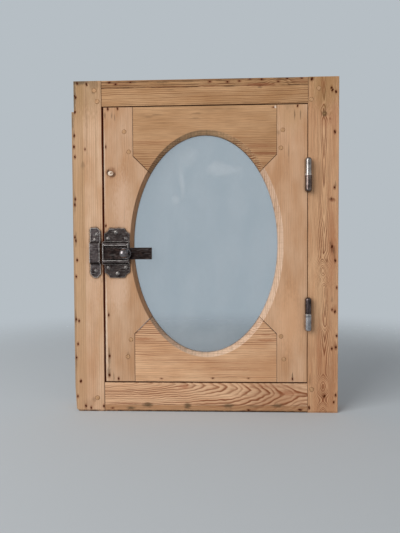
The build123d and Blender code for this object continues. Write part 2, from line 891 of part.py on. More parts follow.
# Finished pieces
pieces = {
    "frame_left_stile": frame_left_stile,
    "frame_right_stile": frame_right_stile,
    "frame_head_rail": frame_head_rail,
    "frame_bottom_rail": frame_bottom_rail,
    "frame_pegs": frame_pegs,
    "keeper": keeper,
    "keeper_screws": keeper_screws,
    "keeper_nail": keeper_nail,
    "upper_hinge_frame_half": upper_hinge_frame_half,
    "lower_hinge_frame_half": lower_hinge_frame_half,
    "hinge_pins": hinge_pins,
    "hinge_washers": hinge_washers,
    "hinge_frame_screws": hinge_frame_screws,
    "sash_left_stile": sash_left_stile,
    "sash_right_stile": sash_right_stile,
    "sash_top_rail": sash_top_rail,
    "sash_bottom_rail": sash_bottom_rail,
    "sash_pegs": sash_pegs,
    "stile_plug": stile_plug,
    "glass": glass,
    "putty": putty,
    "latch_plate": latch_plate,
    "latch_case": latch_case,
    "latch_screws": latch_screws,
    "upper_hinge_sash_half": upper_hinge_sash_half,
    "lower_hinge_sash_half": lower_hinge_sash_half,
    "hinge_sash_screws": hinge_sash_screws,
    "bolt_bar": bolt_bar,
    "bolt_knob": bolt_knob,
}
for name, piece in pieces.items():
    piece.part.label = name
    export_step(piece.part, f"parts/{name}.step")
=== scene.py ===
import math
from functools import partial

import bpy
from mathutils import Euler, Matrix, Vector


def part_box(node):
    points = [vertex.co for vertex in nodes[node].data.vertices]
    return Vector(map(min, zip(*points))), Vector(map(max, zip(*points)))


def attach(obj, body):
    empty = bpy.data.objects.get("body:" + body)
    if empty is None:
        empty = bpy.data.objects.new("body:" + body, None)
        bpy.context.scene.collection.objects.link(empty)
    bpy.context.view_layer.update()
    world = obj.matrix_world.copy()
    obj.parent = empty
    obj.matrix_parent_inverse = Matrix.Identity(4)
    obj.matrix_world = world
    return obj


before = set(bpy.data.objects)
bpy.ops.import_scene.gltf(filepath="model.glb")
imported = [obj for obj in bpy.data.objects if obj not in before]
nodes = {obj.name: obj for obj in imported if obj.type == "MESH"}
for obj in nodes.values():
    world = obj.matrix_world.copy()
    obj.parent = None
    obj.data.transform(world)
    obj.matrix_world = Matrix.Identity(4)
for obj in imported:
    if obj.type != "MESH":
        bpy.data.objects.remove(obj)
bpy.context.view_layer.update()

mm = 0.001
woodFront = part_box("frame_head_rail")[0].y / mm  # front face of frame and sash, -22.5 mm
print("frame loaded,", len(nodes), "nodes")


def hexColour(code):  # sRGB hex to the linear colour that sockets take
    parts = [int(code[i:i + 2], 16) / 255 for i in (1, 3, 5)]
    return (*[c / 12.92 if c <= 0.04045 else ((c + 0.055) / 1.055) ** 2.4 for c in parts], 1)


def addNode(tree, kind, *values, stops=(), **settings):
    # values go to the open sockets in order, settings to sockets or properties by name
    made = tree.nodes.new(kind)
    for key, value in settings.items():
        if hasattr(made, key):
            setattr(made, key, value)
    if stops:
        ramp = made.color_ramp
        while len(ramp.elements) < len(stops):
            ramp.elements.new(0.5)
        for element, (position, colour) in zip(ramp.elements, stops):
            element.position = position
            element.color = colour if isinstance(colour, tuple) else (colour, colour, colour, 1)
    fed = list(zip([s for s in made.inputs if s.enabled], values))
    fed += [(made.inputs[key], value) for key, value in settings.items() if not hasattr(made, key)]
    for socket, value in fed:
        if isinstance(value, bpy.types.NodeSocket):
            tree.links.new(value, socket)
        elif value is not None:
            socket.default_value = value
    return next(s for s in made.outputs if s.enabled) if made.outputs else made


def newMaterial(name):
    material = bpy.data.materials.new(name)
    material.use_nodes = True
    material.node_tree.nodes.clear()
    return material, partial(addNode, material.node_tree)


def placeInMm(put):  # object coordinates, in millimetres
    place = put("ShaderNodeTexCoord").node.outputs["Object"]
    return put("ShaderNodeVectorMath", place, operation="SCALE", Scale=1 / mm)


def cloud(put, place, size, **more):  # noise with lumps of this size in mm, along each axis
    vector = put("ShaderNodeVectorMath", place, tuple(1 / s for s in size), operation="MULTIPLY")
    return put("ShaderNodeTexNoise", Vector=vector, Scale=1, **more)


# Stripped softwood: growth rings round a pith line, cut by each board's faces.
# The latewood shows as darker lines, straight, sweeping or in arches as the board was sawn.
softLine = [(0.0, 0.0), (0.35, 0.1), (0.7, 0.55), (0.86, 1.0), (0.94, 0.8), (1.0, 0.0)]
boldLine = [(0.0, 0.05), (0.3, 0.1), (0.52, 0.45), (0.7, 1.0), (0.86, 0.9), (1.0, 0.05)]

pineLook = {
    # each kind of unevenness: its length along the grain and its width, in mm
    "slow": (130, 26), "fine": (34, 7),  # drift of the rings, and smaller waves in them
    "clouds": (140, 16),     # where the grain is stronger or fainter
    "patch": (90, 30),       # uneven tone left by old stain and sun
    "sway": (60, 40),        # how a strip's edge wanders
    "fibre": (30, 1.1), "streak": (160, 2.6),  # drawn coarser than real fibres, to show at all
    "duct": (11, 0.9),       # resin ducts as short dark dashes
    "scraper": (2.6, 40),    # marks of the scraper across the splay
    "crack": (26, 60), "breaks": (30, 30),  # the path of a check, and where it closes up
    "wobble": (5, 2), "smear": (8, 1.4),    # ragged outlines of cracks and stains, and of smudges
    "patchy": (9, 9),        # where dirt and wear come and go

    "profile": softLine,     # how dark the wood is through one year
    "roundness": 2,          # rings are circles at 2, pointed below that
    "crowding": 1,           # how closely they follow each other, along the board
    "taper": 0,              # mm that they shift for each mm along the board
    "wavyPast": (400, 1),    # a line across the board past which they are restless
    "drawnOut": 0.55,        # knots and stains reach further along the grain than across
    "streaks": 1.0, "chatter": 0.0,  # strength of the fibres, and of the scraper's marks
    "splayContrast": 1.8,    # the rings on the splay against those on the face
    "splayToneAndShading": "#8a6642", "splayTintAndShading": 0.0, "endTone": "#8a6642", "endDark": 0.55,
    "rust": 0.75, "rustReach": 2.1,  # strength of the stain round a nail hole, and mm of its spread
    "dirtAndShade": 1.0, "dirtAndShadeReach": 4,     # how dark the wood is painted beside the ironwork, with dirt and painted shade, and within what mm
    "jointLine": 0.9,        # mm of dirt along a shoulder, where a seam gives no width
    "arris": 0.7, "rubbed": 0.5,     # mm of rounding that the light sees, and how pale it is rubbed
    "gapStainAndShade": "#744629",    # unstripped brown in the gap round the sash, painted darker as shade
    "smudgeTone": "#5d4a33", "knotTone": "#7a5030", "crackTone": "#55361d", "rustTone": "#743e22",
    "dirtAndShadeTone": "#3f2819", "jointTone": "#3f2614", "rubbedTone": "#e3c3a2",
    "knots": (), "zones": (), "strips": (), "cracks": (), "seams": (),
}
# the sash's outline, and the width and depth of the brown and painted shade round it, in mm
sashGap = {"middle": (0.6, 0, 304.9), "half": (183.6, 0, 250.0), "width": 3.2, "deep": 30}


def pine(name, board):
    material, put = newMaterial(name)
    look = {**pineLook, **board}
    place = placeInMm(put)
    fromMiddle = put("ShaderNodeVectorMath", place, look["middle"], operation="SUBTRACT")
    sides = put("ShaderNodeSeparateXYZ", fromMiddle).node.outputs
    run, side = look["grain"]
    along, across, depth = sides[run], sides[side], sides["Y"]
    board3d = put("ShaderNodeCombineXYZ", along, across, depth)

    def spot(x, z):  # a place on the face, as the board's own along and across
        point = (x, 0, z)
        return point[run] - look["middle"][run], point[side] - look["middle"][side], 0

    def fromSpot(x, z, scale):  # distance from there, with the axes scaled
        offset = put("ShaderNodeVectorMath", board3d, spot(x, z), operation="SUBTRACT")
        offset = put("ShaderNodeVectorMath", offset, scale, operation="MULTIPLY")
        return put("ShaderNodeVectorMath", offset, operation="LENGTH").node.outputs["Value"]

    def drift(kind, size=1.0, **more):  # unevenness of this kind, about zero
        long, wide = look[kind]
        noise = cloud(put, board3d, (long, wide, wide), **more)
        return put("ShaderNodeMapRange", noise, 0.0, 1.0, -size / 2, size / 2)

    def alongBoard(value):  # a number, or a smooth curve through (place along the board, number) pairs
        if not isinstance(value, list):
            return value
        start, end = value[0][0], value[-1][0]
        low, high = min(v for _, v in value), max(v for _, v in value)
        share = put("ShaderNodeMapRange", along, start, end)
        stops = [((a - start) / (end - start), (v - low) / (high - low)) for a, v in value]
        ramp = put("ShaderNodeValToRGB", share, stops=stops)
        ramp.node.color_ramp.interpolation = "CARDINAL"
        return put("ShaderNodeMapRange", ramp, 0.0, 1.0, low, high)

    # distance from the pith, which comes nearer to the board's face or leaves it along its length
    pithSide, pithDepth, crowding = [alongBoard(value) for value in (*look["pith"], look["crowding"])]
    fromSide = put("ShaderNodeMath", across, pithSide, operation="SUBTRACT")
    fromSide = put("ShaderNodeMath", fromSide, crowding, operation="MULTIPLY")
    fromFace = put("ShaderNodeMath", depth, pithDepth, operation="SUBTRACT")
    powers = []
    for offset in (fromSide, fromFace):
        offset = put("ShaderNodeMath", offset, operation="ABSOLUTE")
        powers.append(put("ShaderNodeMath", offset, look["roundness"], operation="POWER"))
    radius = put("ShaderNodeMath", put("ShaderNodeMath", *powers), 1 / look["roundness"], operation="POWER")
    radius = put("ShaderNodeMath", along, look["taper"], radius, operation="MULTIPLY_ADD")
    radius = put("ShaderNodeMath", radius, drift("slow", look["slowDrift"]))
    line, factor = look["wavyPast"]
    waviness = put("ShaderNodeMapRange", across, line - 2, line + 2, 1.0, factor)
    waves = drift("fine", look["fineDrift"], Detail=1)
    radius = put("ShaderNodeMath", waves, waviness, radius, operation="MULTIPLY_ADD")

    knotCore = 0.0
    for x, z, size, push in look["knots"]:  # the rings bend round each knot
        distance = fromSpot(x, z, (look["drawnOut"], 1, 0.8))
        bend = put("ShaderNodeMapRange", distance, 0.0, size * 4, push, 0.0,
                   interpolation_type="SMOOTHERSTEP")
        radius = put("ShaderNodeMath", radius, bend)
        core = put("ShaderNodeMapRange", distance, size * 0.3, size * 0.9, 0.7, 0.0)
        knotCore = put("ShaderNodeMath", core, knotCore, operation="MAXIMUM")

    # years differ in width and in how dark their latewood is
    rings = put("ShaderNodeMath", radius, look["ringWidth"], operation="DIVIDE")
    years = put("ShaderNodeMath", rings, 0.23, operation="MULTIPLY")
    uneven = put("ShaderNodeTexNoise", noise_dimensions="1D", Scale=1, Detail=1, W=years)
    rings = put("ShaderNodeMath", rings, uneven)
    late = put("ShaderNodeValToRGB", put("ShaderNodeMath", rings, operation="FRACT"), stops=look["profile"])
    year = put("ShaderNodeMath", rings, operation="FLOOR")
    year = put("ShaderNodeTexWhiteNoise", noise_dimensions="1D", W=year).node.outputs["Value"]
    strength = put("ShaderNodeMapRange", year, 0.0, 1.0, 0.4 * look["contrast"], look["contrast"])
    clouds = put("ShaderNodeMapRange", drift("clouds", Detail=1), -0.2, 0.2, 0.55, 1.25)
    strength = put("ShaderNodeMath", strength, clouds, operation="MULTIPLY")
    for line, width, factor in look["zones"]:  # stronger or weaker grain past a line
        zone = put("ShaderNodeMapRange", across, line - width, line + width, 1.0, factor)
        strength = put("ShaderNodeMath", strength, zone, operation="MULTIPLY")

    # the rings stand out more on faces that are cut across them, as on the splay
    facing = put("ShaderNodeNewGeometry").node.outputs["Normal"]
    faces = put("ShaderNodeVectorMath", facing, operation="ABSOLUTE")
    faces = put("ShaderNodeSeparateXYZ", faces).node.outputs
    turned = put("ShaderNodeMapRange", faces["Y"], 0.98, 0.8, 0.0, 1.0)
    onSplay = put("ShaderNodeMapRange", turned, 0.0, 1.0, 1.0, look["splayContrast"])
    strength = put("ShaderNodeMath", strength, onSplay, operation="MULTIPLY")
    late = put("ShaderNodeMath", late, strength, operation="MULTIPLY", use_clamp=True)

    patch = put("ShaderNodeMapRange", drift("patch", Detail=3), -0.17, 0.17)
    colour = put("ShaderNodeMix", patch, hexColour(look["pale"]), hexColour(look["warm"]), data_type="RGBA")
    onFront = put("ShaderNodeMapRange", depth, 0.6, 1.6, 1.0, 0.0)
    swaying = put("ShaderNodeMath", across, drift("sway", 1.6))
    for line, width, tone, amount in look["strips"]:  # below the line, or above it for a width below 0
        strip = put("ShaderNodeMapRange", swaying, line + width, line - width, 0.0, amount,
                    interpolation_type="SMOOTHSTEP")
        strip = put("ShaderNodeMath", strip, onFront, operation="MULTIPLY")
        colour = put("ShaderNodeMix", strip, colour, hexColour(tone), data_type="RGBA")
    # the splay's own tone mixed with painted light and shade: darker and warmer where it faces away from the
    # light, paler where lit
    splay = put("ShaderNodeMath", turned, look["splayTintAndShading"], operation="MULTIPLY")
    colour = put("ShaderNodeMix", splay, colour, hexColour(look["splayToneAndShading"]), data_type="RGBA")
    colour = put("ShaderNodeMix", late, colour, hexColour(look["late"]), data_type="RGBA")

    # fibres, resin ducts and the scraper's marks lighten and darken what is there
    fibre = drift("fibre")
    streak = put("ShaderNodeMath", fibre, drift("streak", 0.6))
    light = put("ShaderNodeMath", streak, 0.65 * look["streaks"], 1.0, operation="MULTIPLY_ADD")
    duct = put("ShaderNodeMapRange", drift("duct"), 0.16, 0.3, 0.0, 0.32)
    light = put("ShaderNodeMath", light, duct, operation="SUBTRACT")
    chatter = put("ShaderNodeMapRange", drift("scraper", Detail=1), -0.02, 0.16, 0.0, look["chatter"])
    chatter = put("ShaderNodeMath", chatter, turned, operation="MULTIPLY")
    light = put("ShaderNodeMath", light, chatter, operation="SUBTRACT")
    colour = put("ShaderNodeVectorMath", colour, operation="SCALE", Scale=light)
    colour = put("ShaderNodeMix", knotCore, colour, hexColour(look["knotTone"]), data_type="RGBA")

    # end grain drinks dirt and turns darker
    ends = put("ShaderNodeMapRange", faces[run], 0.55, 1.0, 0.0, look["endDark"],
               interpolation_type="SMOOTHSTEP")
    colour = put("ShaderNodeMix", ends, colour, hexColour(look["endTone"]), data_type="RGBA")

    relief = put("ShaderNodeMath", fibre, 0.5, late, operation="MULTIPLY_ADD")
    wobble = drift("wobble", 1.6)
    for line, wave, width, amount in look["cracks"]:  # long wavy checks and torn grain
        path = put("ShaderNodeMath", drift("crack", wave), line, operation="SUBTRACT")
        path = put("ShaderNodeMath", wobble, 0.4, path, operation="MULTIPLY_ADD")
        near = put("ShaderNodeMath", put("ShaderNodeMath", across, path), operation="ABSOLUTE")
        dark = put("ShaderNodeMapRange", near, width * 0.3, width, 1.0, 0.0)
        breaks = put("ShaderNodeMapRange", drift("breaks"), -0.12, 0.06, 0.0, amount)
        dark = put("ShaderNodeMath", dark, breaks, operation="MULTIPLY")
        colour = put("ShaderNodeMix", dark, colour, hexColour(look["crackTone"]), data_type="RGBA")
        relief = put("ShaderNodeMath", dark, -3.0, relief, operation="MULTIPLY_ADD")

    nearest = 99.0  # mm to the nearest hole's edge, far away to begin with
    squeezed = put("ShaderNodeVectorMath", board3d, (look["drawnOut"], 1, 1), operation="MULTIPLY")
    for x, z, size in look["marks"]:  # rust and dirt soaked in round old nail holes
        a, b, c = spot(x, z)
        centre = (a * look["drawnOut"], b, c)
        gap = put("ShaderNodeVectorMath", squeezed, centre, operation="DISTANCE").node.outputs["Value"]
        gap = put("ShaderNodeMath", gap, size, operation="SUBTRACT")
        nearest = put("ShaderNodeMath", gap, nearest, operation="MINIMUM")
    nearest = put("ShaderNodeMath", wobble, nearest)
    rust = put("ShaderNodeMapRange", nearest, 0.0, look["rustReach"], look["rust"], 0.0)
    colour = put("ShaderNodeMix", rust, colour, hexColour(look["rustTone"]), data_type="RGBA")
    edges = drift("smear", 1.5)
    for x, z, long, wide, amount, *own in look["smudges"]:  # smears, some with a tone of their own
        distance = put("ShaderNodeMath", fromSpot(x, z, (1 / long, 1 / wide, 0.2)), edges)
        smear = put("ShaderNodeMapRange", distance, 0.3, 1.2, amount, 0.0, interpolation_type="SMOOTHSTEP")
        tone = hexColour(own[0] if own else look["smudgeTone"])
        colour = put("ShaderNodeMix", smear, colour, tone, data_type="RGBA")

    # dust and wax gather round whatever stands on the wood, and ambient occlusion paints shade there and in
    # the gap
    patchy = put("ShaderNodeMapRange", drift("patchy", Detail=1), -0.15, 0.15, 0.45, 0.95)
    shelter = put("ShaderNodeAmbientOcclusion", Distance=look["dirtAndShadeReach"] * mm, samples=6).node.outputs["AO"]
    dirtAndShade = put("ShaderNodeMapRange", shelter, 0.98, 0.82, 0.0, look["dirtAndShade"])
    dirtAndShade = put("ShaderNodeMath", dirtAndShade, patchy, operation="MULTIPLY")
    colour = put("ShaderNodeMix", dirtAndShade, colour, hexColour(look["dirtAndShadeTone"]), data_type="RGBA")

    # arrises are rounded by hands and scrapers, and rubbed paler here and there
    rounded = put("ShaderNodeBevel", Radius=look["arris"] * mm, samples=6)
    bend = put("ShaderNodeVectorMath", rounded, facing, operation="DOT_PRODUCT").node.outputs["Value"]
    rubbed = put("ShaderNodeMapRange", bend, 0.99, 0.85, 0.0, look["rubbed"])
    rubbed = put("ShaderNodeMath", rubbed, patchy, operation="MULTIPLY")
    colour = put("ShaderNodeMix", rubbed, colour, hexColour(look["rubbedTone"]), data_type="RGBA")

    flat = put("ShaderNodeCombineXYZ", along, across, 0.0)
    for turn, distance, *own in look["seams"]:  # dirt along a shoulder
        width = own[0] if own else look["jointLine"]
        direction = (math.cos(math.radians(turn)), math.sin(math.radians(turn)), 0)
        reach = put("ShaderNodeVectorMath", flat, direction, operation="DOT_PRODUCT").node.outputs["Value"]
        dirtAndShade = put("ShaderNodeMapRange", reach, distance - width, distance)
        dirtAndShade = put("ShaderNodeMath", dirtAndShade, patchy, operation="MULTIPLY")
        colour = put("ShaderNodeMix", dirtAndShade, colour, hexColour(look["jointTone"]), data_type="RGBA")

    # the gap round the sash was never stripped; its brown is also painted darker as shade
    overEdge = put("ShaderNodeVectorMath", place, sashGap["middle"], operation="SUBTRACT")
    overEdge = put("ShaderNodeVectorMath", overEdge, operation="ABSOLUTE")
    overEdge = put("ShaderNodeVectorMath", overEdge, sashGap["half"], operation="SUBTRACT")
    overEdge = put("ShaderNodeSeparateXYZ", overEdge).node.outputs
    rim = put("ShaderNodeMath", overEdge["X"], overEdge["Z"], operation="MAXIMUM")
    rim = put("ShaderNodeMath", rim, operation="ABSOLUTE")
    inGap = put("ShaderNodeMapRange", rim, sashGap["width"] - 1, sashGap["width"], 1.0, 0.0)
    below = put("ShaderNodeMapRange", depth, 0.1, 1.0, 0.0, 0.97)
    inGap = put("ShaderNodeMath", inGap, below, operation="MULTIPLY")
    shallow = put("ShaderNodeMapRange", depth, sashGap["deep"] - 1, sashGap["deep"] + 1, 1.0, 0.0)
    inGap = put("ShaderNodeMath", inGap, shallow, operation="MULTIPLY")
    colour = put("ShaderNodeMix", inGap, colour, hexColour(look["gapStainAndShade"]), data_type="RGBA")

    bump = put("ShaderNodeBump", Strength=look["relief"], Distance=0.25 * mm, Height=relief, Normal=rounded)
    rough = put("ShaderNodeMapRange", late, 0.0, 1.0, 0.78, 0.62)
    shader = put("ShaderNodeBsdfPrincipled", IOR=1.45, Roughness=rough, Normal=bump,
                 **{"Base Color": colour, "Specular IOR Level": 0.3})
    put("ShaderNodeOutputMaterial", shader)
    return material


upright, level = (2, 0), (0, 2)  # the axis that the grain follows, then the one across it

# Each board's own look. Places are x and z in mm as the window is seen, and lines, zones, curves and seams
# count from the board's middle:
# marks (nail holes): x, z, radius. smudges: x, z, half length, half width, strength, own tone.
# knots: x, z, radius, push. strips: line, width, tone, strength. cracks: line, wave, width, strength.
# zones: line, width, factor. seams: turn in degrees, distance, own width.
boards = {
    "frame_left_stile": {
        "grain": upright, "middle": (-212.5, woodFront, 301), "ringWidth": 3.1, "pith": (75, 40),
        "taper": 0.004, "slowDrift": 4, "fineDrift": 0.9, "contrast": 0.5, "streaks": 0.6, "relief": 0.5,
        "pale": "#d6b292", "warm": "#c59a75", "late": "#8a5c38", "gapStainAndShade": "#9e5433",
        "strips": [
            # the near-black strip past 26.7 is painted shade, widening the dark gap beside the sash
            (-5.5, 0.8, "#b9946d", 0.65), (-24.5, 2.0, "#987c60", 0.7), (26.7, -0.4, "#43200f", 0.95),
        ],
        "marks": [
            (-228.7, 598.2, 1.3), (-211.6, 596.2, 1.3), (-233.8, 575.6, 0.8), (-231.8, 573.0, 1.2),
            (-233.4, 546.8, 1.1), (-235.2, 504.6, 1.1), (-236.0, 484.5, 1.3), (-234.6, 466.3, 1.1),
            (-215.9, 479.9, 0.7), (-235.0, 389.6, 1.2), (-235.9, 379.8, 1.3), (-236.8, 320.7, 1.0),
            (-235.0, 314.5, 1.0), (-233.1, 279.0, 1.1), (-235.2, 248.8, 1.0), (-236.4, 170.2, 1.3),
            (-231.2, 167.4, 1.1), (-233.7, 124.7, 1.2), (-236.9, 99.3, 1.1), (-229.3, 55.6, 1.3),
            (-235.5, 27.4, 1.2), (-220.4, 9.6, 1.4), (-210.7, 6.3, 1.2), (-187.3, 9.5, 1.1),
        ],
        "smudges": [
            (-214, 592, 66, 40, 0.5, "#94744c"), (-234.5, 576, 34, 4, 0.7, "#5c5140"),
            (-226, 601.5, 7, 26, 0.6, "#54483a"), (-238, 530, 16, 3, 0.5, "#5c5140"),
            (-230, 601, 9, 22, 0.4), (-198, 598, 16, 11, 0.4), (-213, 520, 90, 2.4, 0.4, "#8a6a4c"),
            (-202, 240, 70, 14, 0.35, "#dfbb9f"), (-222, 400, 120, 1.8, 0.35, "#93704f"),
            (-196, 470, 90, 2.0, 0.35, "#94724f"), (-199.5, 583, 6, 3.4, 0.5), (-236, 560, 30, 2.4, 0.5),
            (-220, 452, 9, 4, 0.35), (-236, 385, 24, 2.4, 0.4), (-235, 317, 16, 2, 0.6),
            (-237.5, 172, 20, 2, 0.5), (-199, 292, 49, 12, 0.7, "#4f3320"), (-237, 92, 22, 2.2, 0.45),
            (-215, 12, 12, 12, 0.25), (-205, 22, 5, 4, 0.4), (-236, 505, 14, 2, 0.4),
            # the dark band at -188.5 beside the keeper is painted shade along the gap
            (-215, 60, 150, 26, 0.22, "#c08d6c"), (-188.5, 292, 50, 4.4, 0.9, "#5a3220"),
        ],
    },
    "frame_right_stile": {
        "grain": upright, "middle": (212.7, woodFront, 301), "ringWidth": 2.1,
        "pith": (
            [(-301, 0.6), (-240, 0.6), (-150, 3.6), (-74, 2), (-42, -0.3), (0, 2), (60, 1), (180, 0.5),
             (301, 0)],
            [(-301, 1), (-280, 11), (-254, 3), (-230, 13), (-153, 10), (-142, 6), (-74, 2.5), (-60, 9),
             (-42, 3), (-20, 12), (70, 8.5), (240, 2.5), (254, 7), (301, 3)],
        ),
        "roundness": 1.5, "slow": (90, 20), "slowDrift": 1.6, "fine": (26, 5), "fineDrift": 1.0,
        "contrast": 0.63, "zones": [(-9, 3, 2.6), (9, 3, 0.42)], "relief": 0.7,
        "pale": "#d5a981", "warm": "#c3926b", "late": "#7c4628", "patch": (90, 12), "gapStainAndShade": "#b88c66",
        "dirtAndShade": 0.35,
        "knots": [(213.3, 30.8, 4.0, 2.4), (214, 537, 2.4, 2.6), (224, 528, 2.0, -2.0), (219, 276, 3.4, 3)],
        "knotTone": "#75482b", "strips": [(-26.2, 0.8, "#8f6a48", 0.3)],
        "marks": [
            (191.8, 598.0, 1.5), (226.2, 582.1, 1.3), (228.0, 578.1, 1.4), (234.1, 575.0, 1.2),
            (232.5, 504.7, 1.4), (232.3, 406.4, 1.2), (226.9, 386.0, 1.1), (228.3, 301.0, 1.4),
            (234.1, 275.9, 1.3), (237.0, 227.3, 0.9), (234.0, 184.2, 1.3), (228.8, 187.6, 0.8),
            (237.2, 140.3, 1.1), (235.9, 119.6, 1.4), (228.7, 117.2, 1.1), (235.9, 32.4, 1.1),
            (215.8, 30.4, 1.5), (232.6, 19.6, 0.9), (188.4, 9.2, 1.3),
        ],
        "smudges": [
            (209, 205, 90, 14, 0.24, "#f7cd9f"), (209, 420, 170, 14, 0.16, "#f4c99b"),
            (191, 601, 8, 8, 0.5), (228, 303, 14, 2.2, 0.6), (233, 285, 18, 1.6, 0.6),
            (213, 575, 16, 5, 0.35), (224, 528, 12, 4, 0.3, "#8d4f33"), (227, 386, 3, 6, 0.6),
            (229, 206, 6, 2.4, 0.4), (190, 60, 12, 3, 0.3), (214.5, 524, 14, 9, 0.3, "#9c5b38"),
            (215, 547, 9, 4, 0.5, "#7d5a38"), (214, 537, 6.4, 5.6, 0.95, "#4f341e"),
            (214, 537, 2.3, 1.8, 0.7, "#a07c55"), (232, 540, 26, 8, 0.35, "#a8694a"),
            (229, 300, 70, 7, 0.3, "#a0643f"), (228, 60, 60, 8, 0.3, "#96603f"),
            (229, 296, 10, 5, 0.6, "#5f3822"), (225, 306, 7, 1.6, 0.7), (231, 292, 8, 1.4, 0.8),
            (234, 410, 9, 2, 0.5), (229, 384, 4, 7, 0.5, "#7a4528"), (233, 190, 9, 5, 0.4, "#8a5030"),
            (235, 122, 10, 4, 0.45, "#7a4528"), (214, 40, 130, 34, 0.2, "#ad6a42"),
            (214, 592, 60, 34, 0.5, "#94703f"), (229, 300, 130, 11, 0.22, "#a8623c"),
            (206, 130, 60, 6, 0.3, "#a0603c"), (212, 585, 18, 5, 0.4, "#9a5f3c"),
            (213, 172, 14, 3, 0.35, "#8c4a2c"), (214, 40, 12, 9, 0.25, "#7c4a2c"),
        ],
    },
    "frame_head_rail": {
        "grain": level, "middle": (0.25, woodFront, 579), "ringWidth": 2.6, "pith": (150, 60),
        "taper": 0.006, "slowDrift": 4, "fineDrift": 1.2, "wavyPast": (9, 3.5), "contrast": 1.25,
        "zones": [(9, 1.5, 1.1)], "relief": 0.8,
        "pale": "#c69c73", "warm": "#b4875d", "late": "#764926",
        "knots": [(135, 600, 5, 6)], "strips": [(9.4, -1.2, "#8a6840", 0.2)],
        "cracks": [
            (9.4, 1.0, 1.1, 1.0), (14.0, 2.8, 0.7, 0.7), (19.3, 2.6, 0.9, 0.7), (-20.6, 0.6, 0.8, 0.5),
        ],
        "seams": [(0, 185.25), (180, 185.25)],
        "marks": [
            (-170.0, 598.6, 1.3), (-158.8, 595.2, 1.1), (-132.0, 598.3, 1.1), (10.9, 596.8, 1.2),
            (42.5, 595.8, 1.2), (63.5, 596.8, 1.0), (82.3, 600.2, 1.0), (103.1, 599.0, 1.1),
            (132.6, 594.4, 0.9), (148.3, 599.9, 1.0), (173.7, 599.9, 1.0),
        ],
        "smudges": [
            (-78, 597.5, 12, 1.6, 0.6), (-132, 598, 16, 1.8, 0.5), (-165, 598.5, 12, 2, 0.5),
            (100, 585, 5, 2, 0.5), (-30, 598.5, 14, 1.5, 0.5), (60, 600.5, 40, 1.3, 0.6),
            (145, 601, 34, 1.2, 0.7), (-60, 583.5, 9, 1.2, 0.4), (100, 590, 34, 3.6, 0.7, "#84492b"),
            (-60, 589.2, 46, 1.6, 0.55, "#7d4a2c"), (10, 589.4, 30, 1.8, 0.5, "#7d4a2c"),
            (172, 595, 20, 5, 0.4, "#8b5638"), (-150, 596, 30, 4, 0.3, "#8b5638"),
            # the long dark band along the top edge is painted shade
            (-20, 600, 190, 2.4, 0.3, "#6f4c2c"),
        ],
    },
    "frame_bottom_rail": {
        "grain": level, "middle": (0.25, woodFront, 27), "ringWidth": 3.1,
        "pith": (
            [(-186, 26), (-60, 24), (0, 21), (65, 16), (125, 8), (186, 5)],
            [(-186, 1), (-130, 6), (-80, 13), (-20, 22), (60, 36), (120, 49), (158, 56), (186, 59)],
        ),
        "roundness": 1.3,
        "crowding": [(-186, 1.1), (-110, 1), (-20, 0.85), (60, 0.62), (120, 0.55), (186, 0.8)],
        "slowDrift": 4.0, "fine": (20, 11), "fineDrift": 3.0, "profile": boldLine, "contrast": 0.6,
        "zones": [(-15, 1.2, 2.1), (22, 4, 0.6)], "relief": 0.9,
        "pale": "#e5bc96", "warm": "#d6a882", "late": "#8c5535",
        "strips": [(-15.0, 1.2, "#a1744c", 0.7)], "cracks": [(-14.6, 1.4, 0.8, 0.6)],
        "seams": [(0, 185.25), (180, 185.25)], "smudgeTone": "#54422b",
        "marks": [(78.8, 3.9, 1.1), (172.2, 5.2, 1.3), (-171, 6, 0.8)],
        "smudges": [
            (132, 27, 80, 40, 0.28, "#86502f"), (-105.4, 12.5, 11, 5.6, 0.8), (-32.4, 11.0, 8, 6.4, 0.8),
            (-136.2, 6.2, 10, 3.2, 0.75), (42.8, 11.6, 11, 5.4, 0.65), (131.9, 12.4, 13, 4.6, 0.6),
            (-38, 46.5, 13, 5, 0.5, "#9c5434"), (-145, 15, 44, 3, 0.45, "#84492b"),
            # the two long dark bands along the bottom edge, at 1 mm, are a painted contact shadow
            (150, 36, 22, 6, 0.45, "#9a5635"), (90, 10, 16, 2, 0.35), (-20, 1, 170, 2.4, 0.9),
            (110, 1, 90, 2.4, 0.9), (130, 48, 60, 3.4, 0.3, "#9a5f40"),
        ],
    },
    "sash_left_stile": {
        "grain": upright, "middle": (-140, woodFront, 305), "ringWidth": 3.0, "pith": (-90, 14),
        "taper": 0.012, "slowDrift": 6, "fineDrift": 1.1, "contrast": 0.42, "streaks": 0.5, "relief": 0.5,
        "pale": "#cba687", "warm": "#bb8e69", "late": "#8f643b", "gapStainAndShade": "#9e5433", "splayContrast": 1.2,
        # a darker, warmer splay here, as painted shade
        "splayToneAndShading": "#b58460", "splayTintAndShading": 0.6,
        # this dark strip along the edge is painted shade, widening the dark gap beside the frame
        "strips": [(-41.9, 0.3, "#5a2a13", 0.95)],
        "marks": [
            (-173.5, 551.6, 1.2), (-155.7, 551.6, 0.9), (-159.1, 60.7, 1.0), (-178.0, 483.5, 0.7),
            (-179.4, 341.2, 0.9), (-176.2, 178.1, 0.9), (-175.3, 102.5, 1.4), (-176.1, 67.2, 1.3),
        ],
        "smudges": [
            (-180.3, 150, 120, 1.9, 0.55, "#ecd8c2"), (-180.6, 440, 80, 1.2, 0.5, "#e6d0ba"),
            (-178.9, 540, 7, 1.8, 0.55), (-166.4, 539.8, 6, 1.6, 0.55), (-161, 536, 7, 1.6, 0.45),
            (-168.5, 436.5, 11, 11, 0.85, "#84583a"), (-174, 438, 6, 3.4, 1.0, "#4a2f1c"),
            (-162.6, 434, 5, 2.8, 0.9, "#5a3a22"), (-166.5, 431, 2.6, 6, 0.8, "#5a3a22"),
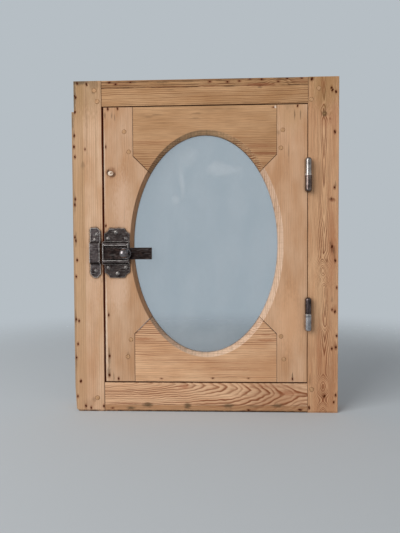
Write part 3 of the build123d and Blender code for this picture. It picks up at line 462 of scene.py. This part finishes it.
            # the dark band at -180 beside the latch is painted shade along the gap
            (-180, 292, 50, 3, 0.8, "#5a3220"), (-159, 292, 48, 26, 0.75, "#4f3320"),
            (-176, 100, 24, 2.6, 0.6), (-177, 72, 12, 4, 0.5), (-145, 360, 20, 1.2, 0.3),
            (-150, 380, 70, 16, 0.4, "#e2c0a6"), (-158, 225, 44, 20, 0.4, "#e2c0a6"),
            (-141, 102.6, 8, 4, 0.35), (-168, 64, 10, 1.6, 0.5), (-176, 178, 9, 1.6, 0.5),
            (-178, 484, 9, 1.6, 0.4),
        ],
    },
    "sash_right_stile": {
        "grain": upright, "middle": (140, woodFront, 305), "ringWidth": 2.9, "pith": (95, 14),
        "taper": -0.01, "slowDrift": 7, "fineDrift": 1.1, "contrast": 0.42, "streaks": 0.5, "relief": 0.5,
        "pale": "#d3aa88", "warm": "#c1926c", "late": "#8d6038", "gapStainAndShade": "#b88c66", "dirtAndShade": 0.35,
        "splayContrast": 2.2, "splayToneAndShading": "#e0cbb8", "splayTintAndShading": 0.4, "chatter": 0.1,
        "marks": [(166.7, 551.5, 1.1), (158.4, 61.5, 1.1)],
        "smudges": [
            (152, 170, 70, 28, 0.5, "#dfae86"), (155, 540, 40, 30, 0.4, "#bd9468"),
            (161.6, 536, 10, 1.6, 0.6), (171.7, 536, 10, 1.4, 0.6), (151, 470, 18, 1.4, 0.4),
            (158.4, 66, 8, 1.5, 0.7), (133, 505, 5, 4, 0.3), (150, 560, 20, 10, 0.2),
        ],
    },
    "sash_top_rail": {
        "grain": level, "middle": (1, woodFront, 510), "ringWidth": 3.2, "pith": (-150, 45), "taper": 0.01,
        "slowDrift": 9, "fineDrift": 1.7, "contrast": 1.3, "zones": [(-20, 10, 0.22)], "streaks": 1.2,
        "relief": 0.6,
        "pale": "#c1976f", "warm": "#b0855d", "late": "#7d4825", "splayContrast": 2.2,
        "splayToneAndShading": "#dbb48a", "splayTintAndShading": 0.6, "chatter": 0.22,
        "seams": [(180, 129.5), (0, 129.2), (-135, 122.6, 1.7), (-45, 122.4, 1.7)],
        "marks": [(124.4, 549.5, 0.6)],
        "smudges": [
            (-85, 540, 9, 1.8, 0.35), (-12, 541, 12, 1.8, 0.4), (-15, 533, 8, 1.6, 0.35),
            (-100, 536, 8, 3, 0.25), (30, 548, 60, 2, 0.2), (100, 482, 34, 5, 0.4, "#8f5534"),
            (110, 468, 30, 3, 0.5, "#8a4e2f"), (-100, 490, 40, 5, 0.3, "#95603b"),
            (40, 497, 60, 3, 0.25, "#95603b"), (127.4, 550.2, 2.0, 3.0, 0.8, "#ecd9c8"),
        ],
    },
    "sash_bottom_rail": {
        "grain": level, "middle": (1, woodFront, 100), "ringWidth": 2.9, "pith": (140, 50), "taper": -0.008,
        "slowDrift": 8, "fineDrift": 1.6, "contrast": 0.8, "zones": [(25, 5, 2.4)], "relief": 0.6,
        "pale": "#e1b68e", "warm": "#cd9d75", "late": "#874c2c", "splayContrast": 0.8,
        "splayToneAndShading": "#e5c7ac", "splayTintAndShading": 0.75, "chatter": 0.16,
        "cracks": [(-36, 0.8, 0.6, 0.5)],
        "seams": [(180, 129.5), (0, 129.2), (135, 122.5, 2.6), (45, 122.4, 2.0)],
        "marks": [(-80.2, 61.1, 0.5), (14.0, 62.2, 0.6), (78.9, 62.2, 0.5)],
        "smudges": [
            (105, 78, 50, 34, 0.35, "#c08c62"), (-112, 134, 24, 3, 0.5, "#98552f"),
            (112, 132, 26, 3, 0.5, "#98552f"), (110, 142, 14, 2, 0.5, "#8c4c2c"),
            (-60, 96, 70, 3, 0.3, "#a26a46"), (40, 78, 80, 3, 0.3, "#a26a46"),
        ],
    },
}
for member, board in boards.items():
    nodes[member].material_slots[0].material = pine("strippedPine_" + member, board)
print("boards painted")


# Whittled pegs and the plug show end grain: short pores, and on the plug a browner pith
oakPeg = {"dark": "#a27a55", "pale": "#c79c75", "pores": (1.3, 14, 0.9)}
palePlug = dict(oakPeg, dark="#c4a88c", pale="#eddccb", pith=(-167.4, woodFront, 436.6), pithTone="#8d6646")


def pegWood(name, peg):
    material, put = newMaterial(name)
    place = placeInMm(put)
    pores = cloud(put, place, peg["pores"])
    tones = [(0.32, hexColour(peg["dark"])), (0.62, hexColour(peg["pale"]))]
    colour = put("ShaderNodeValToRGB", pores, stops=tones)
    if "pith" in peg:
        fromPith = put("ShaderNodeVectorMath", place, peg["pith"], operation="DISTANCE").node.outputs["Value"]
        pith = put("ShaderNodeMapRange", fromPith, 0.8, 3.0, 0.85, 0.0)
        colour = put("ShaderNodeMix", pith, colour, hexColour(peg["pithTone"]), data_type="RGBA")
    bump = put("ShaderNodeBump", Strength=0.5, Distance=0.2 * mm, Height=pores)
    shader = put("ShaderNodeBsdfPrincipled", IOR=1.45, Roughness=0.8, Normal=bump,
                 **{"Base Color": colour, "Specular IOR Level": 0.25})
    put("ShaderNodeOutputMaterial", shader)
    return material


pegMaterial = pegWood("splitOakPeg", oakPeg)
for member in ("frame_pegs", "sash_pegs"):
    nodes[member].material_slots[0].material = pegMaterial
nodes["stile_plug"].material_slots[0].material = pegWood("paleWhittledPlug", palePlug)


# Hand-forged and rolled iron, blackened and handled for years.
# Brown-black skin with a little rust and grime, darker in its hollows as painted shade, rubbed bright on the
# edges, which also paints their highlights.
def wornMetal(name, metal):
    material, put = newMaterial(name)
    place = placeInMm(put)
    patches = put("ShaderNodeMapRange", cloud(put, place, (9, 9, 9), Detail=3), 0.33, 0.67)
    dark, light = hexColour(metal["dark"]), hexColour(metal["light"])
    colour = put("ShaderNodeMix", patches, dark, light, data_type="RGBA")
    spots = cloud(put, place, (3.4, 3.4, 3.4), Detail=5, Roughness=0.65)
    rust = put("ShaderNodeMapRange", spots, 0.52, 0.66, 0.0, metal["rust"])
    colour = put("ShaderNodeMix", rust, colour, hexColour(metal["rustTone"]), data_type="RGBA")

    # the rounded normal leaves the true one only beside an edge
    rounded = put("ShaderNodeBevel", Radius=metal["edge"] * mm, samples=8)
    true = put("ShaderNodeNewGeometry").node.outputs["Normal"]
    bend = put("ShaderNodeVectorMath", rounded, true, operation="DOT_PRODUCT").node.outputs["Value"]
    # beside an edge the iron is worn bright, painted pale enough to stand for highlights too
    wearAndHighlight = put("ShaderNodeMapRange", bend, 0.99, 0.88, 0.0, metal["wearAndHighlight"])
    patchy = put("ShaderNodeMapRange", cloud(put, place, (3, 3, 3), Detail=3), 0.34, 0.5, 0.3, 1.0)
    wearAndHighlight = put("ShaderNodeMath", wearAndHighlight, patchy, operation="MULTIPLY")
    # grime and painted shade darken the iron where it is sheltered
    shelter = put("ShaderNodeAmbientOcclusion", Distance=metal["recess"] * mm, samples=8).node.outputs["AO"]
    grimeAndShade = put("ShaderNodeMapRange", shelter, 0.35, 0.95, 0.85, 0.0)
    colour = put("ShaderNodeMix", grimeAndShade, colour, hexColour(metal["grimeAndShade"]), data_type="RGBA")
    exposed = put("ShaderNodeMapRange", shelter, 0.4, 0.75, 0.0, 1.0)
    wearAndHighlight = put("ShaderNodeMath", wearAndHighlight, exposed, operation="MULTIPLY")
    scratch = put("ShaderNodeMapRange", cloud(put, place, metal["scratch"]), 0.6, 0.74, 0.0, 0.35)
    brightWearAndHighlight = put("ShaderNodeMath", wearAndHighlight, scratch, operation="MAXIMUM")
    colour = put("ShaderNodeMix", brightWearAndHighlight, colour, hexColour(metal["brightWearAndHighlight"]), data_type="RGBA")
    rough = put("ShaderNodeMix", brightWearAndHighlight, metal["roughness"], 0.3, data_type="FLOAT")
    # bright edges lose their metal, so that the lamps light them like painted highlights
    metallic = put("ShaderNodeMath", 1.0, put("ShaderNodeMath", rust, brightWearAndHighlight, operation="MAXIMUM"),
                   operation="SUBTRACT", use_clamp=True)
    pits, dents = cloud(put, place, (1.6, 1.6, 1.6), Detail=3), cloud(put, place, (7, 7, 7))
    height = put("ShaderNodeMath", pits, 0.6, dents, operation="MULTIPLY_ADD")
    bump = put("ShaderNodeBump", Strength=metal["pitting"], Distance=0.25 * mm, Height=height)
    shader = put("ShaderNodeBsdfPrincipled", Metallic=metallic, Roughness=rough, Normal=bump,
                 **{"Base Color": colour})
    put("ShaderNodeOutputMaterial", shader)
    return material


# edge: mm of rounding that the light sees. recess: mm within which grime and painted shade gather. scratch:
# its size in mm
iron = {"dark": "#201a1a", "light": "#4c4543", "brightWearAndHighlight": "#e9e2dc", "rustTone": "#5e3f33", "grimeAndShade": "#120d0c",
        "rust": 0.3, "edge": 1.3, "wearAndHighlight": 0.95, "scratch": (9, 9, 0.6), "roughness": 0.44, "pitting": 0.22,
        "recess": 5}
barrel = dict(iron, rust=0.2, roughness=0.26, pitting=0.14, scratch=(0.5, 0.5, 12), recess=14)
metals = {
    "keeper": ("blackenedIronKeeper", dict(iron, dark="#2c2626", light="#564f4f", wearAndHighlight=1.0, edge=1.6)),
    "latch_plate": ("blackenedIronPlate", dict(iron, wearAndHighlight=0.35)),
    "latch_case": ("blackenedIronCase", dict(iron, dark="#292424", light="#5a5353", wearAndHighlight=1.2, edge=1.6)),
    "latch_screws": ("rubbedScrewSteel", dict(
        iron, dark="#56504f", light="#b9b2ac", rust=0.2, edge=0.6, roughness=0.4)),
    "bolt_bar": ("brownedBoltIron", dict(
        iron, dark="#1c1615", light="#332a28", wearAndHighlight=0.7, edge=0.6, scratch=(16, 9, 0.5))),
    "bolt_knob": ("handPolishedKnobSteel", dict(
        iron, dark="#544f51", light="#8f8a8b", rust=0.15, wearAndHighlight=0.8, roughness=0.27, pitting=0.15)),
    "upper_hinge_sash_half": ("brightHingeSteel", dict(
        barrel, dark="#6a6562", light="#a7a29e", rust=0.15, roughness=0.28)),
    "upper_hinge_frame_half": ("brownedHingeSteel", dict(barrel, dark="#4d413e", light="#796c66")),
    "lower_hinge_sash_half": ("blackHingeSteel", dict(barrel, dark="#352e2e", light="#635858")),
    "lower_hinge_frame_half": ("greyHingeSteel", dict(barrel, dark="#888687", light="#bbb9bb", rust=0.1)),
    "hinge_pins": ("hingePinSteel", dict(iron, dark="#77736f", light="#a8a49f", roughness=0.3)),
    "hinge_washers": ("hingeWasherSteel", dict(iron, dark="#a09a92", light="#d6d0c8", roughness=0.28)),
    "hinge_frame_screws": ("hingeScrewSteel", dict(iron, dark="#5d5854", light="#8f8a85")),
}
sameMetal = {"keeper_screws": "latch_screws", "keeper_nail": "latch_screws",
             "hinge_sash_screws": "hinge_frame_screws"}
for member, (name, metal) in metals.items():
    nodes[member].material_slots[0].material = wornMetal(name, metal)
for member, other in sameMetal.items():
    nodes[member].material_slots[0].material = nodes[other].material_slots[0].material
print("ironwork painted")


# Old drawn sheet glass: clear and faintly blue, darkened as painted shade, with slow waves, a film of dust
# and a pale streak painted as a reflection
pane = {
    "tintAndShade": "#d8e0e5", "dustAndReflection": "#eceff1", "filmAndReflection": (0.015, 0.09), "wave": 0.25,
    "smearsAndReflection": [  # place across, height, half height, half width, lean and strength
        # the tall narrow one at -42 across is a pale streak painted as a reflection
        (38, 442, 18, 48, -8, 0.17), (-30, 470, 26, 34, 20, 0.12), (-42, 425, 60, 8, 4, 0.16),
        (-54, 391, 16, 14, 0, 0.16), (-90, 452, 40, 12, -35, 0.12), (60, 380, 60, 30, 6, 0.08),
        (-20, 240, 50, 18, 8, 0.08), (30, 200, 30, 34, 0, 0.06), (0, 130, 22, 70, 0, 0.08),
    ],
}


def sheetGlass():
    material, put = newMaterial("oldSheetGlass")
    place = placeInMm(put)
    waves = cloud(put, place, (90, 90, 45), Detail=1)
    bump = put("ShaderNodeBump", Strength=pane["wave"], Distance=0.6 * mm, Height=waves)
    filmAndReflection = put("ShaderNodeMapRange", cloud(put, place, (45, 45, 110), Detail=4), 0.4, 0.7, *pane["filmAndReflection"])
    ragged = cloud(put, place, (34, 34, 34), Detail=3)
    for x, z, long, wide, lean, amount in pane["smearsAndReflection"]:  # wiped and hazy places, each at its own lean, and one painted reflection
        offset = put("ShaderNodeVectorRotate", place, (x, 0, z), (0, 1, 0), math.radians(lean))
        offset = put("ShaderNodeVectorMath", offset, (x, 0, z), operation="SUBTRACT")
        offset = put("ShaderNodeVectorMath", offset, (1 / wide, 0, 1 / long), operation="MULTIPLY")
        reach = put("ShaderNodeVectorMath", offset, operation="LENGTH").node.outputs["Value"]
        reach = put("ShaderNodeMath", ragged, 1.4, reach, operation="MULTIPLY_ADD")
        hazeAndReflection = put("ShaderNodeMapRange", reach, 0.8, 1.9, amount, 0.0, interpolation_type="SMOOTHSTEP")
        filmAndReflection = put("ShaderNodeMath", filmAndReflection, hazeAndReflection, operation="MAXIMUM")
    clear = put("ShaderNodeBsdfPrincipled", Roughness=0.0, IOR=1.5, Normal=bump,
                **{"Base Color": hexColour(pane["tintAndShade"]), "Transmission Weight": 1.0})
    dustAndReflection = put("ShaderNodeBsdfPrincipled", Roughness=0.9, **{"Base Color": hexColour(pane["dustAndReflection"])})
    put("ShaderNodeOutputMaterial", put("ShaderNodeMixShader", filmAndReflection, clear, dustAndReflection))
    return material


nodes["glass"].material_slots[0].material = sheetGlass()


# Linseed putty gone hard: off-white, chalky, with darker greasy finger marks
puttyLook = {"greasy": "#a89a84", "chalky": "#c4b8a2", "marks": (9, 9, 9), "grit": (0.9, 0.9, 0.9)}


def oldPutty():
    material, put = newMaterial("hardLinseedPutty")
    place = placeInMm(put)
    tones = [(0.35, hexColour(puttyLook["greasy"])), (0.65, hexColour(puttyLook["chalky"]))]
    colour = put("ShaderNodeValToRGB", cloud(put, place, puttyLook["marks"], Detail=4), stops=tones)
    bump = put("ShaderNodeBump", Strength=0.4, Distance=0.2 * mm, Height=cloud(put, place, puttyLook["grit"]))
    shader = put("ShaderNodeBsdfPrincipled", IOR=1.5, Roughness=0.7, Normal=bump,
                 **{"Base Color": colour, "Specular IOR Level": 0.4})
    put("ShaderNodeOutputMaterial", shader)
    return material


nodes["putty"].material_slots[0].material = oldPutty()
print("glass and putty painted")


def newTree(name, inputs):
    tree = bpy.data.node_groups.new(name, "GeometryNodeTree")
    tree.interface.new_socket("Geometry", in_out="INPUT", socket_type="NodeSocketGeometry")
    for label, (kind, value) in inputs.items():
        socket = tree.interface.new_socket(label, in_out="INPUT", socket_type=kind)
        if value is not None:
            socket.default_value = value
    tree.interface.new_socket("Geometry", in_out="OUTPUT", socket_type="NodeSocketGeometry")
    put = partial(addNode, tree)
    return tree, put, put("NodeGroupInput").node.outputs


def pointCloud(name, points, sizes):  # one loose vertex for each mark, with its size
    mesh = bpy.data.meshes.new(name)
    mesh.from_pydata([(x * mm, y * mm, z * mm) for x, y, z in points], [], [])
    attribute = mesh.attributes.new("size", "FLOAT_VECTOR", "POINT")
    for entry, size in zip(attribute.data, sizes):
        entry.vector = size
    made = bpy.data.objects.new(name, mesh)
    bpy.context.scene.collection.objects.link(made)
    return made


def freeze(made, tree, values, body):  # the tree's result becomes a plain mesh that rides on a body
    modifier = made.modifiers.new(tree.name, "NODES")
    modifier.node_group = tree
    for item in tree.interface.items_tree:
        if item.in_out == "INPUT" and item.name in values:
            modifier[item.identifier] = values[item.name]
    graph = bpy.context.evaluated_depsgraph_get()
    mesh = bpy.data.meshes.new_from_object(made.evaluated_get(graph))
    made.modifiers.remove(modifier)
    made.data = mesh
    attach(made, body)


# Small flat shapes set on the face at given places: each is stamped there at its own size,
# and its outline is roughened by noise
def stampTree(name, kind, shape):
    tree, put, given = newTree(name, {
        "Lift": ("NodeSocketFloat", 0.04 * mm), "Ragged": ("NodeSocketFloat", 0.6 * mm),
        "Grain Size": ("NodeSocketFloat", 1.2 * mm), "Seed": ("NodeSocketFloat", 0.0),
        "Lean": ("NodeSocketFloat", 0.0), "Variety": ("NodeSocketFloat", 0.0),
        "Material": ("NodeSocketMaterial", None)})
    chance = put("FunctionNodeRandomValue", (-1, -1, -1), (1, 1, 1), data_type="FLOAT_VECTOR",
                 Seed=given["Seed"])
    varied = put("ShaderNodeVectorMath", chance, operation="SCALE", Scale=given["Variety"])
    varied = put("ShaderNodeVectorMath", varied, (1, 1, 1))
    size = put("GeometryNodeInputNamedAttribute", "size", data_type="FLOAT_VECTOR")
    size = put("ShaderNodeVectorMath", size, varied, operation="MULTIPLY")
    swing = put("ShaderNodeSeparateXYZ", chance).node.outputs["Z"]
    swing = put("ShaderNodeMath", swing, given["Lean"], operation="MULTIPLY")
    facing = put("ShaderNodeCombineXYZ", math.pi / 2, swing, 0.0)
    spread = put("GeometryNodeInstanceOnPoints", given["Geometry"], Instance=put(kind, **shape),
                 Rotation=facing, Scale=size)
    real = put("GeometryNodeRealizeInstances", spread)
    where = put("GeometryNodeInputPosition")
    where = put("ShaderNodeVectorMath", where, given["Grain Size"], operation="DIVIDE")
    noise = put("ShaderNodeTexNoise", Vector=where, Scale=1, Detail=1, W=given["Seed"],
                noise_dimensions="4D").node.outputs["Color"]
    offset = put("ShaderNodeVectorMath", noise, (0.5, 0.5, 0.5), operation="SUBTRACT")
    offset = put("ShaderNodeVectorMath", offset, (1, 0, 1), operation="MULTIPLY")
    offset = put("ShaderNodeVectorMath", offset, operation="SCALE", Scale=given["Ragged"])
    lift = put("ShaderNodeMath", given["Lift"], -1.0, operation="MULTIPLY")
    offset = put("ShaderNodeVectorMath", offset, put("ShaderNodeCombineXYZ", 0.0, lift, 0.0))
    moved = put("GeometryNodeSetPosition", real, Offset=offset)
    put("NodeGroupOutput", put("GeometryNodeSetMaterial", moved, Material=given["Material"]))
    return tree


# Dull dirt in two tones, without any shine; in the nail holes it is also painted shade
def grimeAndShadeMaterial(name, grimeAndShade):
    material, put = newMaterial(name)
    lumps = cloud(put, placeInMm(put), (grimeAndShade["lump"],) * 3)
    (start, dark), (end, light) = grimeAndShade["tones"]
    colour = put("ShaderNodeValToRGB", lumps, stops=[(start, hexColour(dark)), (end, hexColour(light))])
    shader = put("ShaderNodeBsdfPrincipled", Roughness=grimeAndShade["roughness"],
                 **{"Base Color": colour, "Specular IOR Level": grimeAndShade["shine"]})
    put("ShaderNodeOutputMaterial", shader)
    return material


# Mouths of old nail holes, torn a little along the grain, nearly black with painted shade and dirt, with some
# rust brown
holes = {
    "core": 1.2,     # a mouth's size against that of its mark in the boards' lists
    "stretch": 1.6,  # how much longer it is along the grain
    "inputs": {"Ragged": 1.3 * mm, "Lean": 0.6, "Variety": 0.32, "Seed": 7},
    "tones": [(0.35, "#26110a"), (0.7, "#6d3921")], "lump": 0.8, "roughness": 1.0, "shine": 0.05,
}
holeMouth = stampTree("nailHoleMouths", "GeometryNodeMeshCircle",
                      {"Vertices": 16, "Radius": mm, "fill_type": "TRIANGLE_FAN"})


def nailHoles():
    values = {"Material": grimeAndShadeMaterial("nailHoleShadeAndRust", holes), **holes["inputs"]}
    for body, slot in (("frame", "pine_frame_left_stile"), ("sash", "pine_sash_left_stile")):
        points, sizes = [], []
        for board in [boards[member] for member in boards if member.startswith(body)]:
            for x, z, size in board["marks"]:
                core = size * holes["core"]
                long = core * holes["stretch"]
                points.append((x, woodFront, z))
                sizes.append((core, long, 1) if board["grain"] == upright else (long, core, 1))
        freeze(pointCloud(body + "NailHoles", points, sizes), holeMouth, values, body)


nailHoles()
print("nail holes made")


def pegMiddles(node):  # middle and radius of each peg in mm, from its vertices
    reach = 9 * mm  # wider than a peg and less than the distance between two
    pegs = []
    for place in [vertex.co for vertex in node.data.vertices]:
        near = [g for g in pegs if abs(g[0].x - place.x) < reach and abs(g[0].z - place.z) < reach]
        if near:
            near[0].append(place)
        else:
            pegs.append([place])
    found = []
    for group in pegs:
        left, right = min(p.x for p in group), max(p.x for p in group)
        low, high = min(p.z for p in group), max(p.z for p in group)
        found.append(((left + right) / 2 / mm, (low + high) / 2 / mm, (right - left) / 2 / mm))
    return found


# Brown dirt settled in the joint round each peg: a narrow ring that leans on the peg's proud rim
rings = {
    "width": 0.15,  # as a share of the peg's radius
    "rise": 0.12,   # mm that it climbs at the peg
    "inputs": {"Ragged": 0.5 * mm, "Grain Size": 2.1 * mm, "Seed": 3},
    "tones": [(0.38, "#5e3b21"), (0.64, "#a98058")], "lump": 1.7, "roughness": 0.9, "shine": 0.1,
}
dirtRing = stampTree("pegDirtRings", "GeometryNodeMeshCone", {
    "Vertices": 28, "Radius Top": mm, "Radius Bottom": (1 + rings["width"]) * mm, "Depth": rings["rise"] * mm,
    "fill_type": "NONE"})


def pegRings():
    values = {"Material": grimeAndShadeMaterial("jointDirtRing", rings), **rings["inputs"]}
    for body in ("frame", "sash"):
        pegs = pegMiddles(nodes[body + "_pegs"])
        points = [(x, woodFront, z) for x, z, _ in pegs]
        sizes = [(radius, radius, 1) for *_, radius in pegs]
        freeze(pointCloud(body + "PegRings", points, sizes), dirtRing, values, body)


pegRings()
print("peg rings made")


# A pale floor that fades into an even backdrop, a large soft lamp at the upper left and a weak one
studio = {
    "background": "#b6bec4", "floor": "#c4c9cc", "reach": 4, "fade": (0.5, 1.5),  # metres
    "worldTone": "#f1f4f8", "worldLight": 0.42, "lookAt": (0, 0, 0.3),
    "lamps": {
        "keyLight": {"at": (-2.0, -1.85, 1.4), "wide": 2.1, "tall": 2.6, "watts": 80},
        "fillLight": {"at": (1.6, -1.6, 0.9), "wide": 1.4, "tall": 1.4, "watts": 3},
    },
}


def stage():
    mesh = bpy.data.meshes.new("studioFloor")
    reach = studio["reach"]
    corners = [(-reach, -reach, 0), (reach, -reach, 0), (reach, reach, 0), (-reach, reach, 0)]
    mesh.from_pydata(corners, [], [(0, 1, 2, 3)])
    floor = bpy.data.objects.new("studioFloor", mesh)
    bpy.context.scene.collection.objects.link(floor)
    material, put = newMaterial("paleStudioFloor")
    place = put("ShaderNodeTexCoord").node.outputs["Object"]
    away = put("ShaderNodeVectorMath", place, operation="LENGTH").node.outputs["Value"]
    fade = put("ShaderNodeMapRange", away, *studio["fade"], 0.0, 1.0, interpolation_type="SMOOTHERSTEP")
    matt = put("ShaderNodeBsdfDiffuse", Color=hexColour(studio["floor"]))
    put("ShaderNodeOutputMaterial", put("ShaderNodeMixShader", fade, matt, put("ShaderNodeBsdfTransparent")))
    mesh.materials.append(material)

    world = bpy.data.worlds.new("softStudio")
    bpy.context.scene.world = world
    world.use_nodes = True
    world.node_tree.nodes.clear()
    put = partial(addNode, world.node_tree)
    rays = put("ShaderNodeLightPath").node.outputs
    seen = put("ShaderNodeMath", rays["Is Camera Ray"], rays["Is Transmission Ray"], operation="MAXIMUM")
    light = put("ShaderNodeBackground", hexColour(studio["worldTone"]), studio["worldLight"])
    backdrop = put("ShaderNodeBackground", hexColour(studio["background"]), 1.0)
    put("ShaderNodeOutputWorld", put("ShaderNodeMixShader", seen, light, backdrop))

    for name, lamp in studio["lamps"].items():
        data = bpy.data.lights.new(name, "AREA")
        data.shape = "RECTANGLE"
        data.size, data.size_y = lamp["wide"], lamp["tall"]
        data.energy = lamp["watts"]
        made = bpy.data.objects.new(name, data)
        made.location = lamp["at"]
        towards = Vector(studio["lookAt"]) - made.location
        made.rotation_euler = towards.to_track_quat("-Z", "Y").to_euler()
        bpy.context.scene.collection.objects.link(made)


# The camera that the photograph was taken with: metres, degrees, and mm on a 36 mm sensor
lens = {"at": (0.01946, -0.80268, 0.29104), "turn": (88.190, 0.304, 2.031), "length": 29.11, "sensor": 36}


def camera():
    data = bpy.data.cameras.new("photoCamera")
    data.sensor_width = lens["sensor"]
    data.lens = lens["length"]
    made = bpy.data.objects.new("photoCamera", data)
    made.location = lens["at"]
    made.rotation_euler = Euler([math.radians(a) for a in lens["turn"]])
    bpy.context.scene.collection.objects.link(made)
    bpy.context.scene.camera = made


stage()
camera()
bpy.context.scene.view_settings.view_transform = "Standard"
print("stage and camera set")
